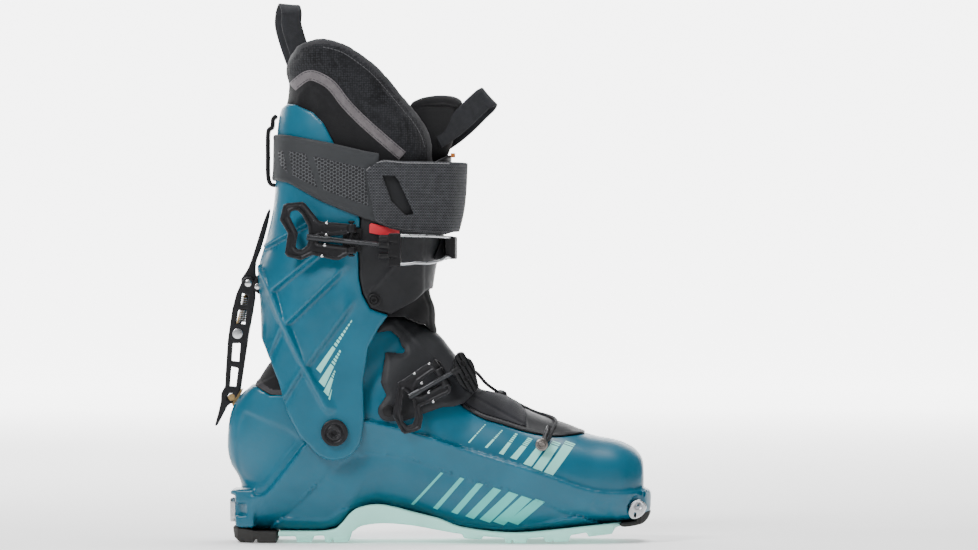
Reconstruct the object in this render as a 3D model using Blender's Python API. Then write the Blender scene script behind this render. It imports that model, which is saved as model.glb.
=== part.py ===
"""Alpine touring boot (right foot), modelled in Blender.

Scene units are metres: +X points to the toe, +Y to the inner side of the foot, +Z up.
The lengths below are in millimetres and become metres when a mesh is made. The boot
stands on z = 0, and its side outlines are drawn in the XZ plane.
"""

import bmesh
import bpy
from math import atan2, cos, degrees, hypot, pi, radians, sin
from mathutils import Matrix, Vector

# ---------------------------------------------------------------- driving dimensions, mm
MM = 0.001
GAP = 0.3                     # running gap between neighbouring pieces
MID_Y = 4.5                   # the boot's middle plane, which centres the box in Y

PIVOT = (-69.5, 77.8)         # cuff hinge, in XZ
ANKLE_HALF = 41.8             # half the clear width between the cuff's pivot lobes
CUFF_WALL = 3.5
SHELL_WALL = 4.0
LINER_WALL = 5.0
FLAP_WALL = 2.6
RING_POINTS = 20              # points round one cross section

HEEL_PIN = (-143.1, 101.8)    # walk lock pin on the heel
PIN_RADIUS = 2.4
CHANNEL_RADIUS = 71.5         # floor of the heel channel, measured from the cuff hinge
CHANNEL_HALF = 12.0
TOE_SHIFT = 4.0               # the toe's middle lies this far to the inner side
TOE_HALF = 33.0               # half width of the toe ledge between its fittings
BAR_INNER, BAR_OUTER = 6.5, 9.0   # the lock bar's two side plates, distance from the middle
BAR_GAP_RADIUS = 82.4         # how far from the cuff hinge the gap between the plates ends

LEVER_HINGE = (-124.3, 180.0)  # walk lever on the cuff
BAR_HINGE = (-130.9, 182.3)    # lock bar on the walk lever

UPPER_LEVER_HINGE = (-57.5, -55.0)    # upper buckle lever on the cuff, in XY
UPPER_CARRIER_HINGE = (-84.0, -60.2)  # bail on the lever, in XY
INSTEP_LEVER_HINGE = (6.0, -45.6)     # instep buckle lever on the shell, in XY
INSTEP_HINGE_Z = 116.5
INSTEP_CARRIER_HINGE = (-17.5, -51.0)
INSTEP_AXIS = (-0.49, 0.0, 0.8717)    # direction of both instep hinges, square to the rod

# Sections of the foot shell, from the toe round to the top of the ankle. Each one is a
# (x, z) point on the sole or heel, a (x, z) point on the instep, a half width and the
# sideways shift of its middle towards the big toe.
SHELL_SECTIONS = [
    ((149.3, 41), (149.3, 54), 13, 4.0),
    ((147.0, 26), (147.0, 60), 24, 4.0),
    ((141.0, 15), (141.0, 66.5), 33.5, 4.0),
    ((130.0, 13.5), (130, 71.5), 42, 3.5),
    ((112.0, 11.5), (111, 75.5), 48, 3.0),
    ((94.0, 9.8), (93, 82.5), 50.5, 2.5),
    ((73.0, 7.8), (70, 90.0), 51, 2.0),
    ((51.0, 7.0), (55, 98.5), 48.5, 1.5),
    ((20.6, 10.0), (42, 105), 44, 1.0),
    ((-6.0, 18.5), (32, 107.5), 40.5, 0.5),
    ((-24.0, 23.5), (24, 117), 38.5, 0.0),
    ((-42.0, 26.0), (15, 127), 37.5, 0.0),
    ((-59.0, 19.5), (8.5, 135), 37.5, 0.0),
    ((-74.0, 8.5), (3, 142), 37.5, 0.0),
    ((-108.0, 8.2), (-4, 148.5), 37.5, 0.0),
    ((-134.5, 12.0), (-9, 152), 36.0, 0.0),
    ((-136.0, 41.0), (-12, 154), 36.0, 0.0),
    ((-144.6, 58.0), (-15, 156), 36.0, 0.0),
    ((-146.0, 74.0), (-18, 157.5), 36.0, 0.0),
    ((-143.5, 91.6), (-21, 159), 35.5, 0.0),
    ((-136.5, 103.5), (-24, 160), 35.0, 0.0),
    ((-127.4, 111.7), (-27, 161), 34.5, 0.0),
    ((-117.0, 127.0), (-30, 162), 34.0, 0.0),
    ((-105.0, 139.0), (-34, 163), 33.5, 0.0),
]
HEEL_SECTIONS = range(15, 24)  # where the heel's wall is thicker, behind the lock channel
HEEL_EXTRA = 4.0

# Sections of the cuff, from the pivot lobes to the collar: back x, front x, z, half width.
CUFF_SECTIONS = [
    (-135, 5, 50, 45.3),
    (-131, 5, 115, 45.3),
    (-123, 3, 140, 45.5),
    (-122.5, -0.5, 165, 46.2),
    (-124.2, 2, 190, 47.6),
    (-118.7, 7, 212, 49.0),
    (-113.5, 12.5, 235, 50.0),
    (-111.4, 14.5, 262, 50.5),
    (-110.5, 14.5, 290, 50.5),
    (-108.5, 14.5, 310, 50.5),
]
LINER_SECTIONS = CUFF_SECTIONS[:-1] + [(-106.5, 10, 318, 47.5), (-105.5, 8, 356, 46.5)]

COLORS = {
    "teal": ((0.008, 0.135, 0.205), 0.38, 0.0),
    "mint": ((0.50, 0.83, 0.74), 0.55, 0.0),
    "black": ((0.012, 0.012, 0.014), 0.45, 0.0),
    "grey": ((0.055, 0.058, 0.062), 0.5, 0.0),
    "rubber": ((0.03, 0.029, 0.03), 0.8, 0.0),
    "fabric": ((0.012, 0.013, 0.016), 0.95, 0.0),
    "webbing": ((0.014, 0.014, 0.016), 0.9, 0.0),
    "foam": ((0.09, 0.09, 0.1), 0.95, 0.0),
    "steel": ((0.62, 0.63, 0.65), 0.28, 1.0),
    "brass": ((0.62, 0.42, 0.18), 0.35, 1.0),
    "dark_steel": ((0.10, 0.10, 0.11), 0.4, 0.9),
    "red": ((0.55, 0.02, 0.03), 0.5, 0.0),
}


# ---------------------------------------------------------------- mesh helpers
def clear_scene():
    for old in list(bpy.data.objects):
        bpy.data.objects.remove(old, do_unlink=True)


def material(name):
    found = bpy.data.materials.get(name)
    if found:
        return found
    color, roughness, metallic = COLORS[name]
    made = bpy.data.materials.new(name)
    made.use_nodes = True
    shader = made.node_tree.nodes["Principled BSDF"]
    shader.inputs["Base Color"].default_value = (*color, 1)
    shader.inputs["Roughness"].default_value = roughness
    shader.inputs["Metallic"].default_value = metallic
    return made


def add_object(name, bm, color):
    """A bmesh in millimetres becomes an object in metres, on the boot's middle plane."""
    bmesh.ops.recalc_face_normals(bm, faces=bm.faces)
    if bm.calc_volume(signed=True) < 0:
        bmesh.ops.reverse_faces(bm, faces=bm.faces)
    bm.transform(Matrix.Translation((0, MID_Y * MM, 0)) @ Matrix.Scale(MM, 4))
    mesh = bpy.data.meshes.new(name)
    bm.to_mesh(mesh)
    bm.free()
    mesh.materials.append(material(color))
    made = bpy.data.objects.new(name, mesh)
    bpy.context.collection.objects.link(made)
    return made


def boolean(target, cutter, operation):
    """Apply one exact Boolean to target's mesh."""
    step = target.modifiers.new("cut", "BOOLEAN")
    step.operation = operation
    step.object = cutter
    step.solver = "EXACT"
    graph = bpy.context.evaluated_depsgraph_get()
    mesh = bpy.data.meshes.new_from_object(target.evaluated_get(graph))
    target.modifiers.clear()
    target.data = mesh
    bpy.data.objects.remove(cutter, do_unlink=True)
    return target


def loft(rings):
    """A closed solid through rings of points, with a flat cap at each end."""
    bm = bmesh.new()
    rows = [[bm.verts.new(point) for point in ring] for ring in rings]
    count = len(rows[0])
    for low, high in zip(rows, rows[1:]):
        for i in range(count):
            j = (i + 1) % count
            bm.faces.new((low[i], low[j], high[j], high[i]))
    bm.faces.new(list(reversed(rows[0])))
    bm.faces.new(rows[-1])
    return bm


def prism(outline, y_low, y_high):
    """An XZ outline pulled along Y."""
    bm = bmesh.new()
    low = [bm.verts.new((x, y_low, z)) for x, z in outline]
    high = [bm.verts.new((x, y_high, z)) for x, z in outline]
    count = len(outline)
    for i in range(count):
        j = (i + 1) % count
        bm.faces.new((low[i], low[j], high[j], high[i]))
    bm.faces.new(list(reversed(low)))
    bm.faces.new(high)
    return bm


def slab(outline, z_low, z_high):
    """An XY outline pulled along Z."""
    bm = bmesh.new()
    low = [bm.verts.new((x, y, z_low)) for x, y in outline]
    high = [bm.verts.new((x, y, z_high)) for x, y in outline]
    count = len(outline)
    for i in range(count):
        j = (i + 1) % count
        bm.faces.new((low[i], low[j], high[j], high[i]))
    bm.faces.new(list(reversed(low)))
    bm.faces.new(high)
    return bm


def cutter(bm):
    made = add_object("cutter", bm, "grey")
    made.hide_render = True
    made.display_type = "WIRE"
    return made


def rod(start, end, radius, sides=12):
    """A cylinder between two points."""
    start, end = Vector(start), Vector(end)
    along = end - start
    bm = bmesh.new()
    bmesh.ops.create_cone(bm, cap_ends=True, segments=sides, radius1=radius,
                          radius2=radius, depth=along.length)
    turn = Vector((0, 0, 1)).rotation_difference(along).to_matrix().to_4x4()
    bm.transform(Matrix.Translation((start + end) / 2) @ turn)
    return bm


def pin_y(center, y_low, y_high, radius, sides=12):
    """A cylinder along Y at an XZ centre."""
    x, z = center
    return rod((x, y_low, z), (x, y_high, z), radius, sides)


def disc(center, radius, sides=12, start=0.0):
    """Points of a circle in XZ."""
    turns = [start + 2 * pi * i / sides for i in range(sides)]
    return [(center[0] + radius * cos(t), center[1] + radius * sin(t)) for t in turns]


def arc(center, radius, first_deg, last_deg, count):
    """Points of an arc in XZ, angles counted from +X towards +Z."""
    step = (last_deg - first_deg) / (count - 1)
    turns = [radians(first_deg + step * i) for i in range(count)]
    return [(center[0] + radius * cos(t), center[1] + radius * sin(t)) for t in turns]


def tube(name, points, radius, color, sides_level=2):
    """A round wire through points, as a smooth closed tube."""
    curve = bpy.data.curves.new(name, "CURVE")
    curve.dimensions = "3D"
    curve.bevel_depth = radius * MM
    curve.bevel_resolution = sides_level
    curve.use_fill_caps = True
    spline = curve.splines.new("POLY")
    spline.points.add(len(points) - 1)
    for point, place in zip(spline.points, points):
        point.co = (place[0] * MM, (place[1] + MID_Y) * MM, place[2] * MM, 1)
    curve.materials.append(material(color))
    made = bpy.data.objects.new(name, curve)
    bpy.context.collection.objects.link(made)
    return made


def smooth_route(points, steps=4):
    """Catmull-Rom points through a short list of places."""
    places = [Vector(p) for p in points]
    places = [2 * places[0] - places[1], *places, 2 * places[-1] - places[-2]]
    route = []
    for a, b, c, d in zip(places, places[1:], places[2:], places[3:]):
        for i in range(steps):
            t = i / steps
            route.append(0.5 * (2 * b + (c - a) * t + (2 * a - 5 * b + 4 * c - d) * t ** 2
                                + (3 * b - a - 3 * c + d) * t ** 3))
    return route + [places[-2]]


def set_origin(obj, point):
    """Move an object's origin to a point given in millimetres, its shape staying put."""
    origin = Vector((point[0], point[1] + MID_Y, point[2])) * MM
    obj.data.transform(Matrix.Translation(-origin))
    obj.location = origin


def smooth_round(obj, angle=35):
    if obj.type == "MESH":
        obj.data.shade_smooth()
        obj.data.set_sharp_from_angle(angle=radians(angle))


def superellipse(turn, power):
    """Unit superellipse point (along, across) at a turn."""
    c, s = cos(turn), sin(turn)
    along = abs(c) ** (2 / power) * (1 if c >= 0 else -1)
    across = abs(s) ** (2 / power) * (1 if s >= 0 else -1)
    return along, across


# ---------------------------------------------------------------- the two body shapes
def outline_normal(before, here, after, away_from):
    """Unit normal of an outline at a point, pointing away from another point."""
    run = Vector(after) - Vector(before)
    normal = Vector((run.y, -run.x)).normalized()
    if normal.dot(Vector(here) - Vector(away_from)) < 0:
        normal = -normal
    return normal


def shell_ring(index, inset, heel_extra):
    sections = SHELL_SECTIONS
    low, high, half, shift = sections[index]
    before = sections[max(index - 1, 0)]
    after = sections[min(index + 1, len(sections) - 1)]
    low_in = inset + (heel_extra if index in HEEL_SECTIONS else 0)
    low_normal = outline_normal(before[0], low, after[0], high)
    high_normal = outline_normal(before[1], high, after[1], low)
    start = Vector(low) - low_in * low_normal
    end = Vector(high) - inset * high_normal
    if index == 0:
        start.x, end.x = low[0] - inset, high[0] - inset
        start.y, end.y = low[1] + inset / 2, high[1] - inset / 2
    middle, reach = (start + end) / 2, (start - end) / 2
    ring = []
    for i in range(RING_POINTS):
        turn = 2 * pi * i / RING_POINTS
        along, across = superellipse(turn, 3.4 if cos(turn) > 0 else 2.3)
        x, z = middle + along * reach
        ring.append((x, shift + across * (half - inset), z))
    return ring


def shell_body(inset=0.0, heel_extra=0.0, rise=0.0):
    """The foot shell's outer form moved inwards; rise lifts its open top."""
    rings = [shell_ring(i, inset, heel_extra) for i in range(len(SHELL_SECTIONS))]
    if rise:
        rings.append([(x + 0.25 * rise, y, z + rise) for x, y, z in rings[-1]])
    return loft(rings)


def cuff_ring(section, inset):
    back, front, z, half = section
    back, front = back + inset, front - inset
    ring = []
    for i in range(RING_POINTS + 4):
        turn = 2 * pi * i / (RING_POINTS + 4)
        along, across = superellipse(turn, 2.25 if cos(turn) > 0 else 2.8)
        x = (back + front) / 2 + along * (front - back) / 2
        ring.append((x, across * (half - inset), z))
    return ring


def cuff_body(inset=0.0, sections=None, over=0.0):
    """The cuff's outer form moved inwards; over makes it taller for a cutter."""
    sections = sections or CUFF_SECTIONS
    rings = [cuff_ring(section, inset) for section in sections]
    if over:
        rings.insert(0, [(x, y, z - over) for x, y, z in rings[0]])
        rings.append([(x, y, z + over) for x, y, z in rings[-1]])
    return loft(rings)


def skin(name, color, outer, inner, outline, y_range=(-80, 80)):
    """The layer between two bodies, inside a side outline."""
    made = add_object(name, outer, color)
    boolean(made, cutter(inner), "DIFFERENCE")
    boolean(made, cutter(prism(outline, *y_range)), "INTERSECT")
    return made


# ---------------------------------------------------------------- side outlines, mm
SHELL_TOP_LINE = [(-170, 130), (-127.4, 111.7), (-115, 104), (-100, 104), (-80, 117),
                  (-62, 138), (-46, 152), (-34, 155), (-22, 155)]
GAITER_EDGE = [(20, 95.8), (32.7, 88), (49, 83), (65, 78.1), (84.6, 74.9), (107, 76.6)]
BOARD_TOP = [(-150, 19), (-75, 19), (-42, 35.5), (-20, 32.5), (20, 20), (60, 17.5), (130, 22)]
FOOT_LINER_OUTLINE = [(-150, 40), (-124, 112), (-118, 121), (-95, 141), (-62, 175),
                      (-25, 178), (20, 160), (60, 118), (150, 80)]
CUFF_OUTLINE = [
    (-109.7, 301.9), (-112.5, 287), (-112.5, 248), (-114.8, 232), (-119.8, 211.4),
    (-125.2, 196.2), (-125, 187.4), (-124, 165), (-122, 144.3), (-118, 135.8),
    (-109, 113.8), (-102.4, 91.2), (-93.9, 75),
    *arc(PIVOT, 19.5, 218, 345, 9),
    (-48.7, 88.4), (-49.4, 113.8), (-45.8, 137.2), (-38.3, 151.3), (-31.8, 160),
    (-44.4, 164.3), (-50.1, 174.7), (-52.5, 186), (-53, 207.9), (-51.5, 226.3),
    (-58, 250), (-69.4, 279.3), (-77.3, 294.5), (-84.7, 301.9), (-97.4, 307.5),
]
OVERLAP_OUTLINE = [
    (-50.9, 226.3), (-52.3, 207.9), (-51.8, 186), (-49.5, 175), (-43.9, 165),
    (-30.4, 160.6), (-21.1, 165.8), (-12.6, 170.4), (-5.2, 177.5), (3, 179),
    (8, 200), (18, 250), (18, 262), (-25, 262), (-61, 261),
]


# ---------------------------------------------------------------- lower boot
def heel_channel():
    """The space behind the heel in which the lock bar swings."""
    inner = arc(PIVOT, CHANNEL_RADIUS, 140, 196, 12)
    outer = arc(PIVOT, CHANNEL_RADIUS + 40, 196, 140, 5)
    return cutter(prism(inner + outer, -CHANNEL_HALF, CHANNEL_HALF))


def make_lower_shell():
    shell = add_object("lower_shell", shell_body(), "teal")
    boolean(shell, cutter(shell_body(SHELL_WALL, HEEL_EXTRA, rise=30)), "DIFFERENCE")
    keep = SHELL_TOP_LINE + [(30, 155), (180, 155), (180, 2), (-170, 2)]
    boolean(shell, cutter(prism(keep, -80, 80)), "INTERSECT")
    gaiter_hole = GAITER_EDGE + [(111, 77.4), (112, 90), (70, 140), (34, 140), (17, 118),
                                 (17, 97.8)]
    boolean(shell, cutter(prism(gaiter_hole, -80, 80)), "DIFFERENCE")
    boolean(shell, heel_channel(), "DIFFERENCE")
    toe_ledge = prism([(139, 33), (149, 38), (154, 35.5), (153.6, 24), (152.5, 21.5),
                       (139, 21.5)], TOE_SHIFT - TOE_HALF, TOE_SHIFT + TOE_HALF)
    boolean(shell, cutter(toe_ledge), "UNION")
    heel_ledge = prism([(-133, 40), (-135, 38), (-143.5, 35.5), (-143.5, 31.6), (-133, 31.6)],
                       -26, 26)
    boolean(shell, cutter(heel_ledge), "UNION")
    pocket = [(141, 34), (151, 26.3), (145, 21), (138, 21), (136.4, 26)]
    for side in (-1, 1):
        near, far = sorted((TOE_SHIFT + side * TOE_HALF, TOE_SHIFT + side * 60))
        boolean(shell, cutter(prism(pocket, near, far)), "DIFFERENCE")
    return shell


def make_sole():
    """The tread: a slab under the shell, with lugs cut by notches across it."""
    lower = [(-109, 2), (-97.4, 0), (-62, 0), (-58.5, 6), (-50.8, 11), (-35.2, 13),
             (-14, 11.5), (20.6, 3.5), (34.8, 2), (45, 0), (77, 0), (96, 1.4),
             (127, 6), (131.5, 10)]
    upper = [(131.5, 11.3), (112, 9.5), (94, 7.8), (73, 6.2), (51, 5.6), (20.6, 8.2),
             (-6, 16.8), (-24, 21.8), (-42, 24), (-59, 17.6), (-74, 6.6), (-109, 6.2)]
    sole = add_object("tread_sole", prism(lower + upper, -60, 60), "mint")
    plan = [(132, -22), (126, -37), (110, -42), (88, -45.5), (68, -46), (45, -43),
            (15, -37), (-20, -33), (-60, -34), (-109.5, -34.5), (-109.5, 34.5), (-60, 34),
            (-20, 34), (15, 40), (45, 46), (68, 50), (88, 50.5), (110, 48), (126, 43),
            (132, 30)]
    boolean(sole, cutter(slab(plan, -5, 40)), "INTERSECT")
    for x in (-81, 42, 72, 101):
        notch = [(x - 3.5, -3), (x + 3.5, -3), (x + 3.5, 3.6), (x - 3.5, 3.6)]
        boolean(sole, cutter(prism(notch, -60, 60)), "DIFFERENCE")
    return sole


def make_heel_pad():
    outline = [(-109.9, 0), (-109.9, 6.2), (-125.7, 6.6), (-137, 8.6), (-141.5, 8.8),
               (-140.3, 3.2), (-135.9, 0)]
    pad = add_object("heel_pad", prism(outline, -34, 34), "rubber")
    plan = [(-109.8, -34), (-128, -32), (-138, -22), (-142, -8), (-142, 8), (-138, 22),
            (-128, 32), (-109.8, 34)]
    boolean(pad, cutter(slab(plan, -5, 40)), "INTERSECT")
    notch = [(-127, -3), (-123.5, -3), (-123.5, 3), (-127, 3)]
    boolean(pad, cutter(prism(notch, -60, 60)), "DIFFERENCE")
    return pad


def make_toe_bumper():
    outline = [(132, 11.4), (134.3, 10.4), (145.8, 12.5), (150.1, 15.5), (152.9, 19.2),
               (153.3, 21.2), (143, 21.2), (142, 14.2), (132, 12.6)]
    bumper = add_object("toe_bumper", prism(outline, -60, 60), "rubber")
    plan = [(130, -26), (146, -21), (151.5, -12), (153.5, 0), (153.5, 8), (151.5, 20),
            (146, 28), (130, 33)]
    boolean(bumper, cutter(slab(plan, -5, 60)), "INTERSECT")
    boolean(bumper, cutter(shell_body(-GAP)), "DIFFERENCE")
    return bumper


def make_binding_fittings():
    """Steel inserts that a tech binding clamps: one each side of the toe, one at the heel."""
    outline = [(142.6, 32.6), (149.3, 26.3), (145, 22), (139.5, 22), (137.6, 26)]
    for name, side in (("toe_fitting_outer", -1), ("toe_fitting_inner", 1)):
        near, far = TOE_SHIFT + side * (TOE_HALF + GAP), TOE_SHIFT + side * (TOE_HALF + 2.6)
        fitting = add_object(name, prism(outline, *sorted((near, far))), "steel")
        socket = cutter(pin_y((143.3, 27.6), -60, 60, 2.6, 10))
        boolean(fitting, socket, "DIFFERENCE")
    heel = add_object("heel_fitting", prism([(-137.2, 31.2), (-143.4, 31.2), (-143.4, 14.1),
                                             (-137.2, 14.1)], -15, 15), "steel")
    for y in (-7, 7):
        boolean(heel, cutter(prism([(-150, 18), (-141, 18), (-141, 28), (-150, 28)],
                                   y - 2.5, y + 2.5)), "DIFFERENCE")


def make_inner_floor():
    """The boot board on the shell's floor, and the footbed inside the liner."""
    body = shell_body(SHELL_WALL + 0.5, HEEL_EXTRA)
    board = add_object("boot_board", body, "foam")
    under = BOARD_TOP + [(130, -20), (-150, -20)]
    boolean(board, cutter(prism(under, -80, 80)), "INTERSECT")
    wall = SHELL_WALL + LINER_WALL + 1.4
    footbed = add_object("footbed", shell_body(wall, HEEL_EXTRA), "fabric")
    layer = [(x, z + LINER_WALL + 1.6) for x, z in BOARD_TOP]
    layer += [(x, z + 4) for x, z in reversed(layer)]
    boolean(footbed, cutter(prism(layer, -80, 80)), "INTERSECT")


def make_foot_liner():
    """The liner's lower half; a circle round the cuff hinge parts it from the upper half."""
    outer = shell_body(SHELL_WALL + 0.6, HEEL_EXTRA, rise=26)
    liner = add_object("liner_foot", outer, "fabric")
    inner = shell_body(SHELL_WALL + 0.6 + LINER_WALL, HEEL_EXTRA, rise=34)
    hollow = add_object("hollow", inner, "fabric")
    floor = [(x, z + LINER_WALL + GAP) for x, z in reversed(BOARD_TOP)]
    above = floor + [(-150, 250), (150, 250), (150, 30)]
    boolean(hollow, cutter(prism(above, -80, 80)), "INTERSECT")
    boolean(liner, hollow, "DIFFERENCE")
    base = [(x, z + GAP) for x, z in reversed(BOARD_TOP)]
    boolean(liner, cutter(prism(FOOT_LINER_OUTLINE + base, -60, 60)), "INTERSECT")
    limit = [(x, z) for x, z in arc(PIVOT, 99, -20, 110, 14)]
    limit += [(-125, 128), (-170, 110), (-170, -10), (170, -10), (170, 90)]
    boolean(liner, cutter(prism(limit, -60, 60)), "INTERSECT")
    return liner


def make_rear_collar():
    """Soft rim that closes the shell's rear edge, kept inside the cuff's swing."""
    band = arc(PIVOT, 70.6, 147, 132, 5)
    band += [(-105, 118), (-96, 108), (-104, 104.6), (-114.6, 104.8), (-126, 112)]
    outer = shell_body(1.2, 0, rise=0)
    inner = shell_body(SHELL_WALL - 0.4, 0, rise=20)
    skin("rear_collar", "grey", outer, inner, band)


def make_flap():
    """The grey tongue of the shell over the instep, with its lateral ear."""
    outline = [(-39, 149), (-34, 158), (-27, 160), (-16.1, 158), (-9.1, 155), (8, 152),
               (40, 118), (31.5, 108.3), (20.4, 98.8), (19.4, 96.4), (5.7, 95.1),
               (-6.6, 90.7), (-26, 83.4), *arc((-31.7, 92.9), 7.8, 290, 200, 5),
               (-34, 104.7), (-37.6, 112.4), (-33.3, 134.8)]
    outer = shell_body(-2 * GAP - FLAP_WALL)
    skin("instep_flap", "grey", outer, shell_body(-2 * GAP, rise=10), outline)
    rivet = add_object("flap_rivet", pin_y((-31.7, 92.9), -42.8, -39, 4.3, 10), "steel")
    boolean(rivet, cutter(shell_body(-3 * GAP - FLAP_WALL)), "DIFFERENCE")
    smooth_round(rivet)


def make_gaiter():
    """The water-tight fabric over the toe opening, its frame and the toe flap."""
    edge = [(x, z + GAP) for x, z in GAITER_EDGE]
    frame_top = [(x, z + 3.6) for x, z in edge]
    frame_top[-1] = (frame_top[-1][0] - 2, frame_top[-1][1] - 2.4)
    skin("gaiter_frame", "grey", shell_body(), shell_body(2.0, rise=10),
         edge + frame_top[::-1])
    seam = 64.0
    lift = [(x, z + GAP) for x, z in frame_top]
    rear = [p for p in lift if p[0] < seam] + [(seam - GAP, 83), (seam - GAP, 110),
                                               (40, 130), (25, 118)]
    skin("gaiter", "fabric", shell_body(0.4), shell_body(1.8, rise=10), rear)
    front = [(seam, 82.9)] + [p for p in lift if p[0] > seam] + [(108, 84), (seam, 105)]
    skin("toe_flap", "grey", shell_body(), shell_body(1.6, rise=10), front)


def make_instep_cable():
    """The closing cable, from the outer toe screw over the gaiter to the flap's guide."""
    route = [(75.3, -44.5, 69), (78.5, -38.5, 78.5), (79.5, -27, 85.5), (76, -12, 91),
             (70, 2, 93.8), (60, 14, 97.5), (50.5, 13, 103.2), (43.5, 3, 108), (38, -9, 110)]
    tube("instep_cable", smooth_route(route, 4), 0.9, "black", 2)
    screw = add_object("cable_screw", pin_y((75.3, 66.3), -50.9, -47.6, 4.0, 10), "dark_steel")
    boolean(screw, cutter(pin_y((75.3, 66.3), -52, -49.8, 1.5, 6)), "DIFFERENCE")
    guide = [(33, 110.4), (37.6, 107.2), (41, 111.6), (36.5, 115)]
    add_object("cable_guide", prism(guide, -19, -9.8), "black")


def make_heel_pin():
    """A short cross pin on a thin bracket in the heel channel."""
    angle = degrees(atan2(HEEL_PIN[1] - PIVOT[1], HEEL_PIN[0] - PIVOT[0]))
    foot = arc(PIVOT, CHANNEL_RADIUS + GAP, angle - 7, angle + 7, 4)
    tip = arc(PIVOT, hypot(HEEL_PIN[0] - PIVOT[0], HEEL_PIN[1] - PIVOT[1]), angle + 2,
              angle - 2, 3)
    pin = add_object("heel_pin", prism(foot + tip, -2.4, 2.4), "brass")
    boolean(pin, cutter(pin_y(HEEL_PIN, -5.9, 5.9, PIN_RADIUS)), "UNION")


def make_pivots():
    for name, side in (("outer", -1), ("inner", 1)):
        near, far = sorted((side * (ANKLE_HALF + CUFF_WALL + GAP), side * 49.0))
        bolt = add_object(f"pivot_bolt_{name}", pin_y(PIVOT, near, far, 9.4, 16), "dark_steel")
        recess = cutter(pin_y(PIVOT, side * 47.8, side * 52, 1.9, 6))
        boolean(bolt, recess, "DIFFERENCE")
        smooth_round(bolt)
        near, far = sorted((side * 38.0, side * (ANKLE_HALF - 1.2)))
        bush = add_object(f"pivot_bushing_{name}", pin_y(PIVOT, near, far, 10.5, 16), "brass")
        smooth_round(bush)


# ---------------------------------------------------------------- cuff
def make_cuff():
    cuff = skin("cuff_shell", "teal", cuff_body(), cuff_body(CUFF_WALL, over=5), CUFF_OUTLINE)
    boolean(cuff, cutter(pin_y(LEVER_HINGE, -6.3, 6.3, 6.2, 14)), "DIFFERENCE")
    skin("cuff_overlap", "black", cuff_body(), cuff_body(CUFF_WALL - 0.6, over=5),
         OVERLAP_OUTLINE)
    rivet = add_object("overlap_rivet", pin_y((-41.6, 170.6), -47, -43.4, 3.8, 10), "steel")
    boolean(rivet, cutter(cuff_body(-GAP)), "DIFFERENCE")
    smooth_round(rivet)


def make_cuff_liner():
    outline = [(-117.5, 131.5), *arc(PIVOT, 108, 105, 44, 8), (12, 175), (0, 265),
               (-0.8, 278.6), (-3.7, 288.5), (-9.8, 299), (-18.2, 309), (-31, 324.6),
               (-42.6, 336.6), (-58.6, 347.9), (-67, 351.4), (-77.3, 353.5), (-86, 352.9),
               (-103, 343), (-130, 313), (-130, 160)]
    outer = cuff_body(CUFF_WALL + GAP, LINER_SECTIONS, over=0)
    inner = cuff_body(CUFF_WALL + 8.5, LINER_SECTIONS, over=8)
    liner = skin("liner_cuff", "fabric", outer, inner, outline)
    throat = [(-36, 340), (-40, 300), (-22, 262), (-8, 262), (30, 262), (30, 380), (-36, 380)]
    boolean(liner, cutter(prism(throat, -27, 27)), "DIFFERENCE")
    return liner


def make_tongue():
    """The liner tongue, a curved pad that stands in the throat."""
    outline = [(-16.8, 309), (-11.2, 311.5), (4.4, 313.5), (13.6, 313.5), (19.7, 311),
               (21, 307), (15, 280), (11, 270), (8, 263.2), (-2, 263.2), (-8, 270)]
    tongue = add_object("liner_tongue", prism(outline, -25, 25), "fabric")
    bow = [(21.5, -8), (21.5, 8), (14, 15), (6, 22), (-10, 22), (0, 15), (4, 8), (4, -8),
           (0, -15), (-10, -22), (6, -22), (14, -15)]
    boolean(tongue, cutter(slab(bow, 200, 330)), "INTERSECT")
    return tongue


def make_power_strap():
    """The band round the top of the cuff and its wide front overlap."""
    rear = [(-140, 287), (-103.1, 286.4), (-84.7, 282.9), (-69.9, 280), (-47.5, 274.5),
            (-47.5, 227.5), (-64.2, 233.4), (-79.1, 239.7), (-101.7, 252.4), (-140, 255)]
    outer, inner = cuff_body(-2.8, over=20), cuff_body(-GAP, over=30)
    skin("power_strap_rear", "grey", outer, inner, rear)
    front = [(-47.2, 262.3), (-35.9, 268.7), (-21.1, 267.3), (30, 267.3), (30, 219),
             (13.6, 218.5), (7.9, 217), (-21.1, 219.5), (-29.6, 221), (-41.2, 226),
             (-42.6, 233.4), (-45.8, 252.4)]
    strap = skin("power_strap_front", "webbing", cuff_body(-4.6, over=20),
                 cuff_body(-GAP, over=30), front)
    slot = [(-35.5, 257.2), (-26.7, 256.5), (-24.6, 253.9), (-14.5, 231), (-19.7, 230.5),
            (-29.6, 239.7)]
    boolean(strap, cutter(prism(slot, -80, 0)), "DIFFERENCE")
    keeper = [(-111.7, 299), (-114.5, 299), (-114.8, 292.5), (-118.4, 289.4), (-118.4, 255),
              (-116, 249.6), (-111, 249.6), (-111, 252), (-115.9, 252.6), (-115.9, 288.3),
              (-111, 290.5)]
    bracket = add_object("strap_keeper", prism(keeper, -11, 11), "black")
    boolean(bracket, cutter(cuff_body(-GAP)), "DIFFERENCE")


def loop_outline(length, half, thick):
    """A U of webbing seen edge on: legs at -half and half across, its fold at length."""
    outer, inner = half, half - thick
    bend = length - half
    points = [(bend + outer * sin(t), -outer * cos(t)) for t in [pi * i / 8 for i in range(9)]]
    points = [(0, -outer), *points, (0, outer), (0, inner)]
    points += [(bend + inner * sin(t), inner * cos(t)) for t in [pi * i / 8 for i in range(9)]]
    return points + [(0, -inner)]


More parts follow.
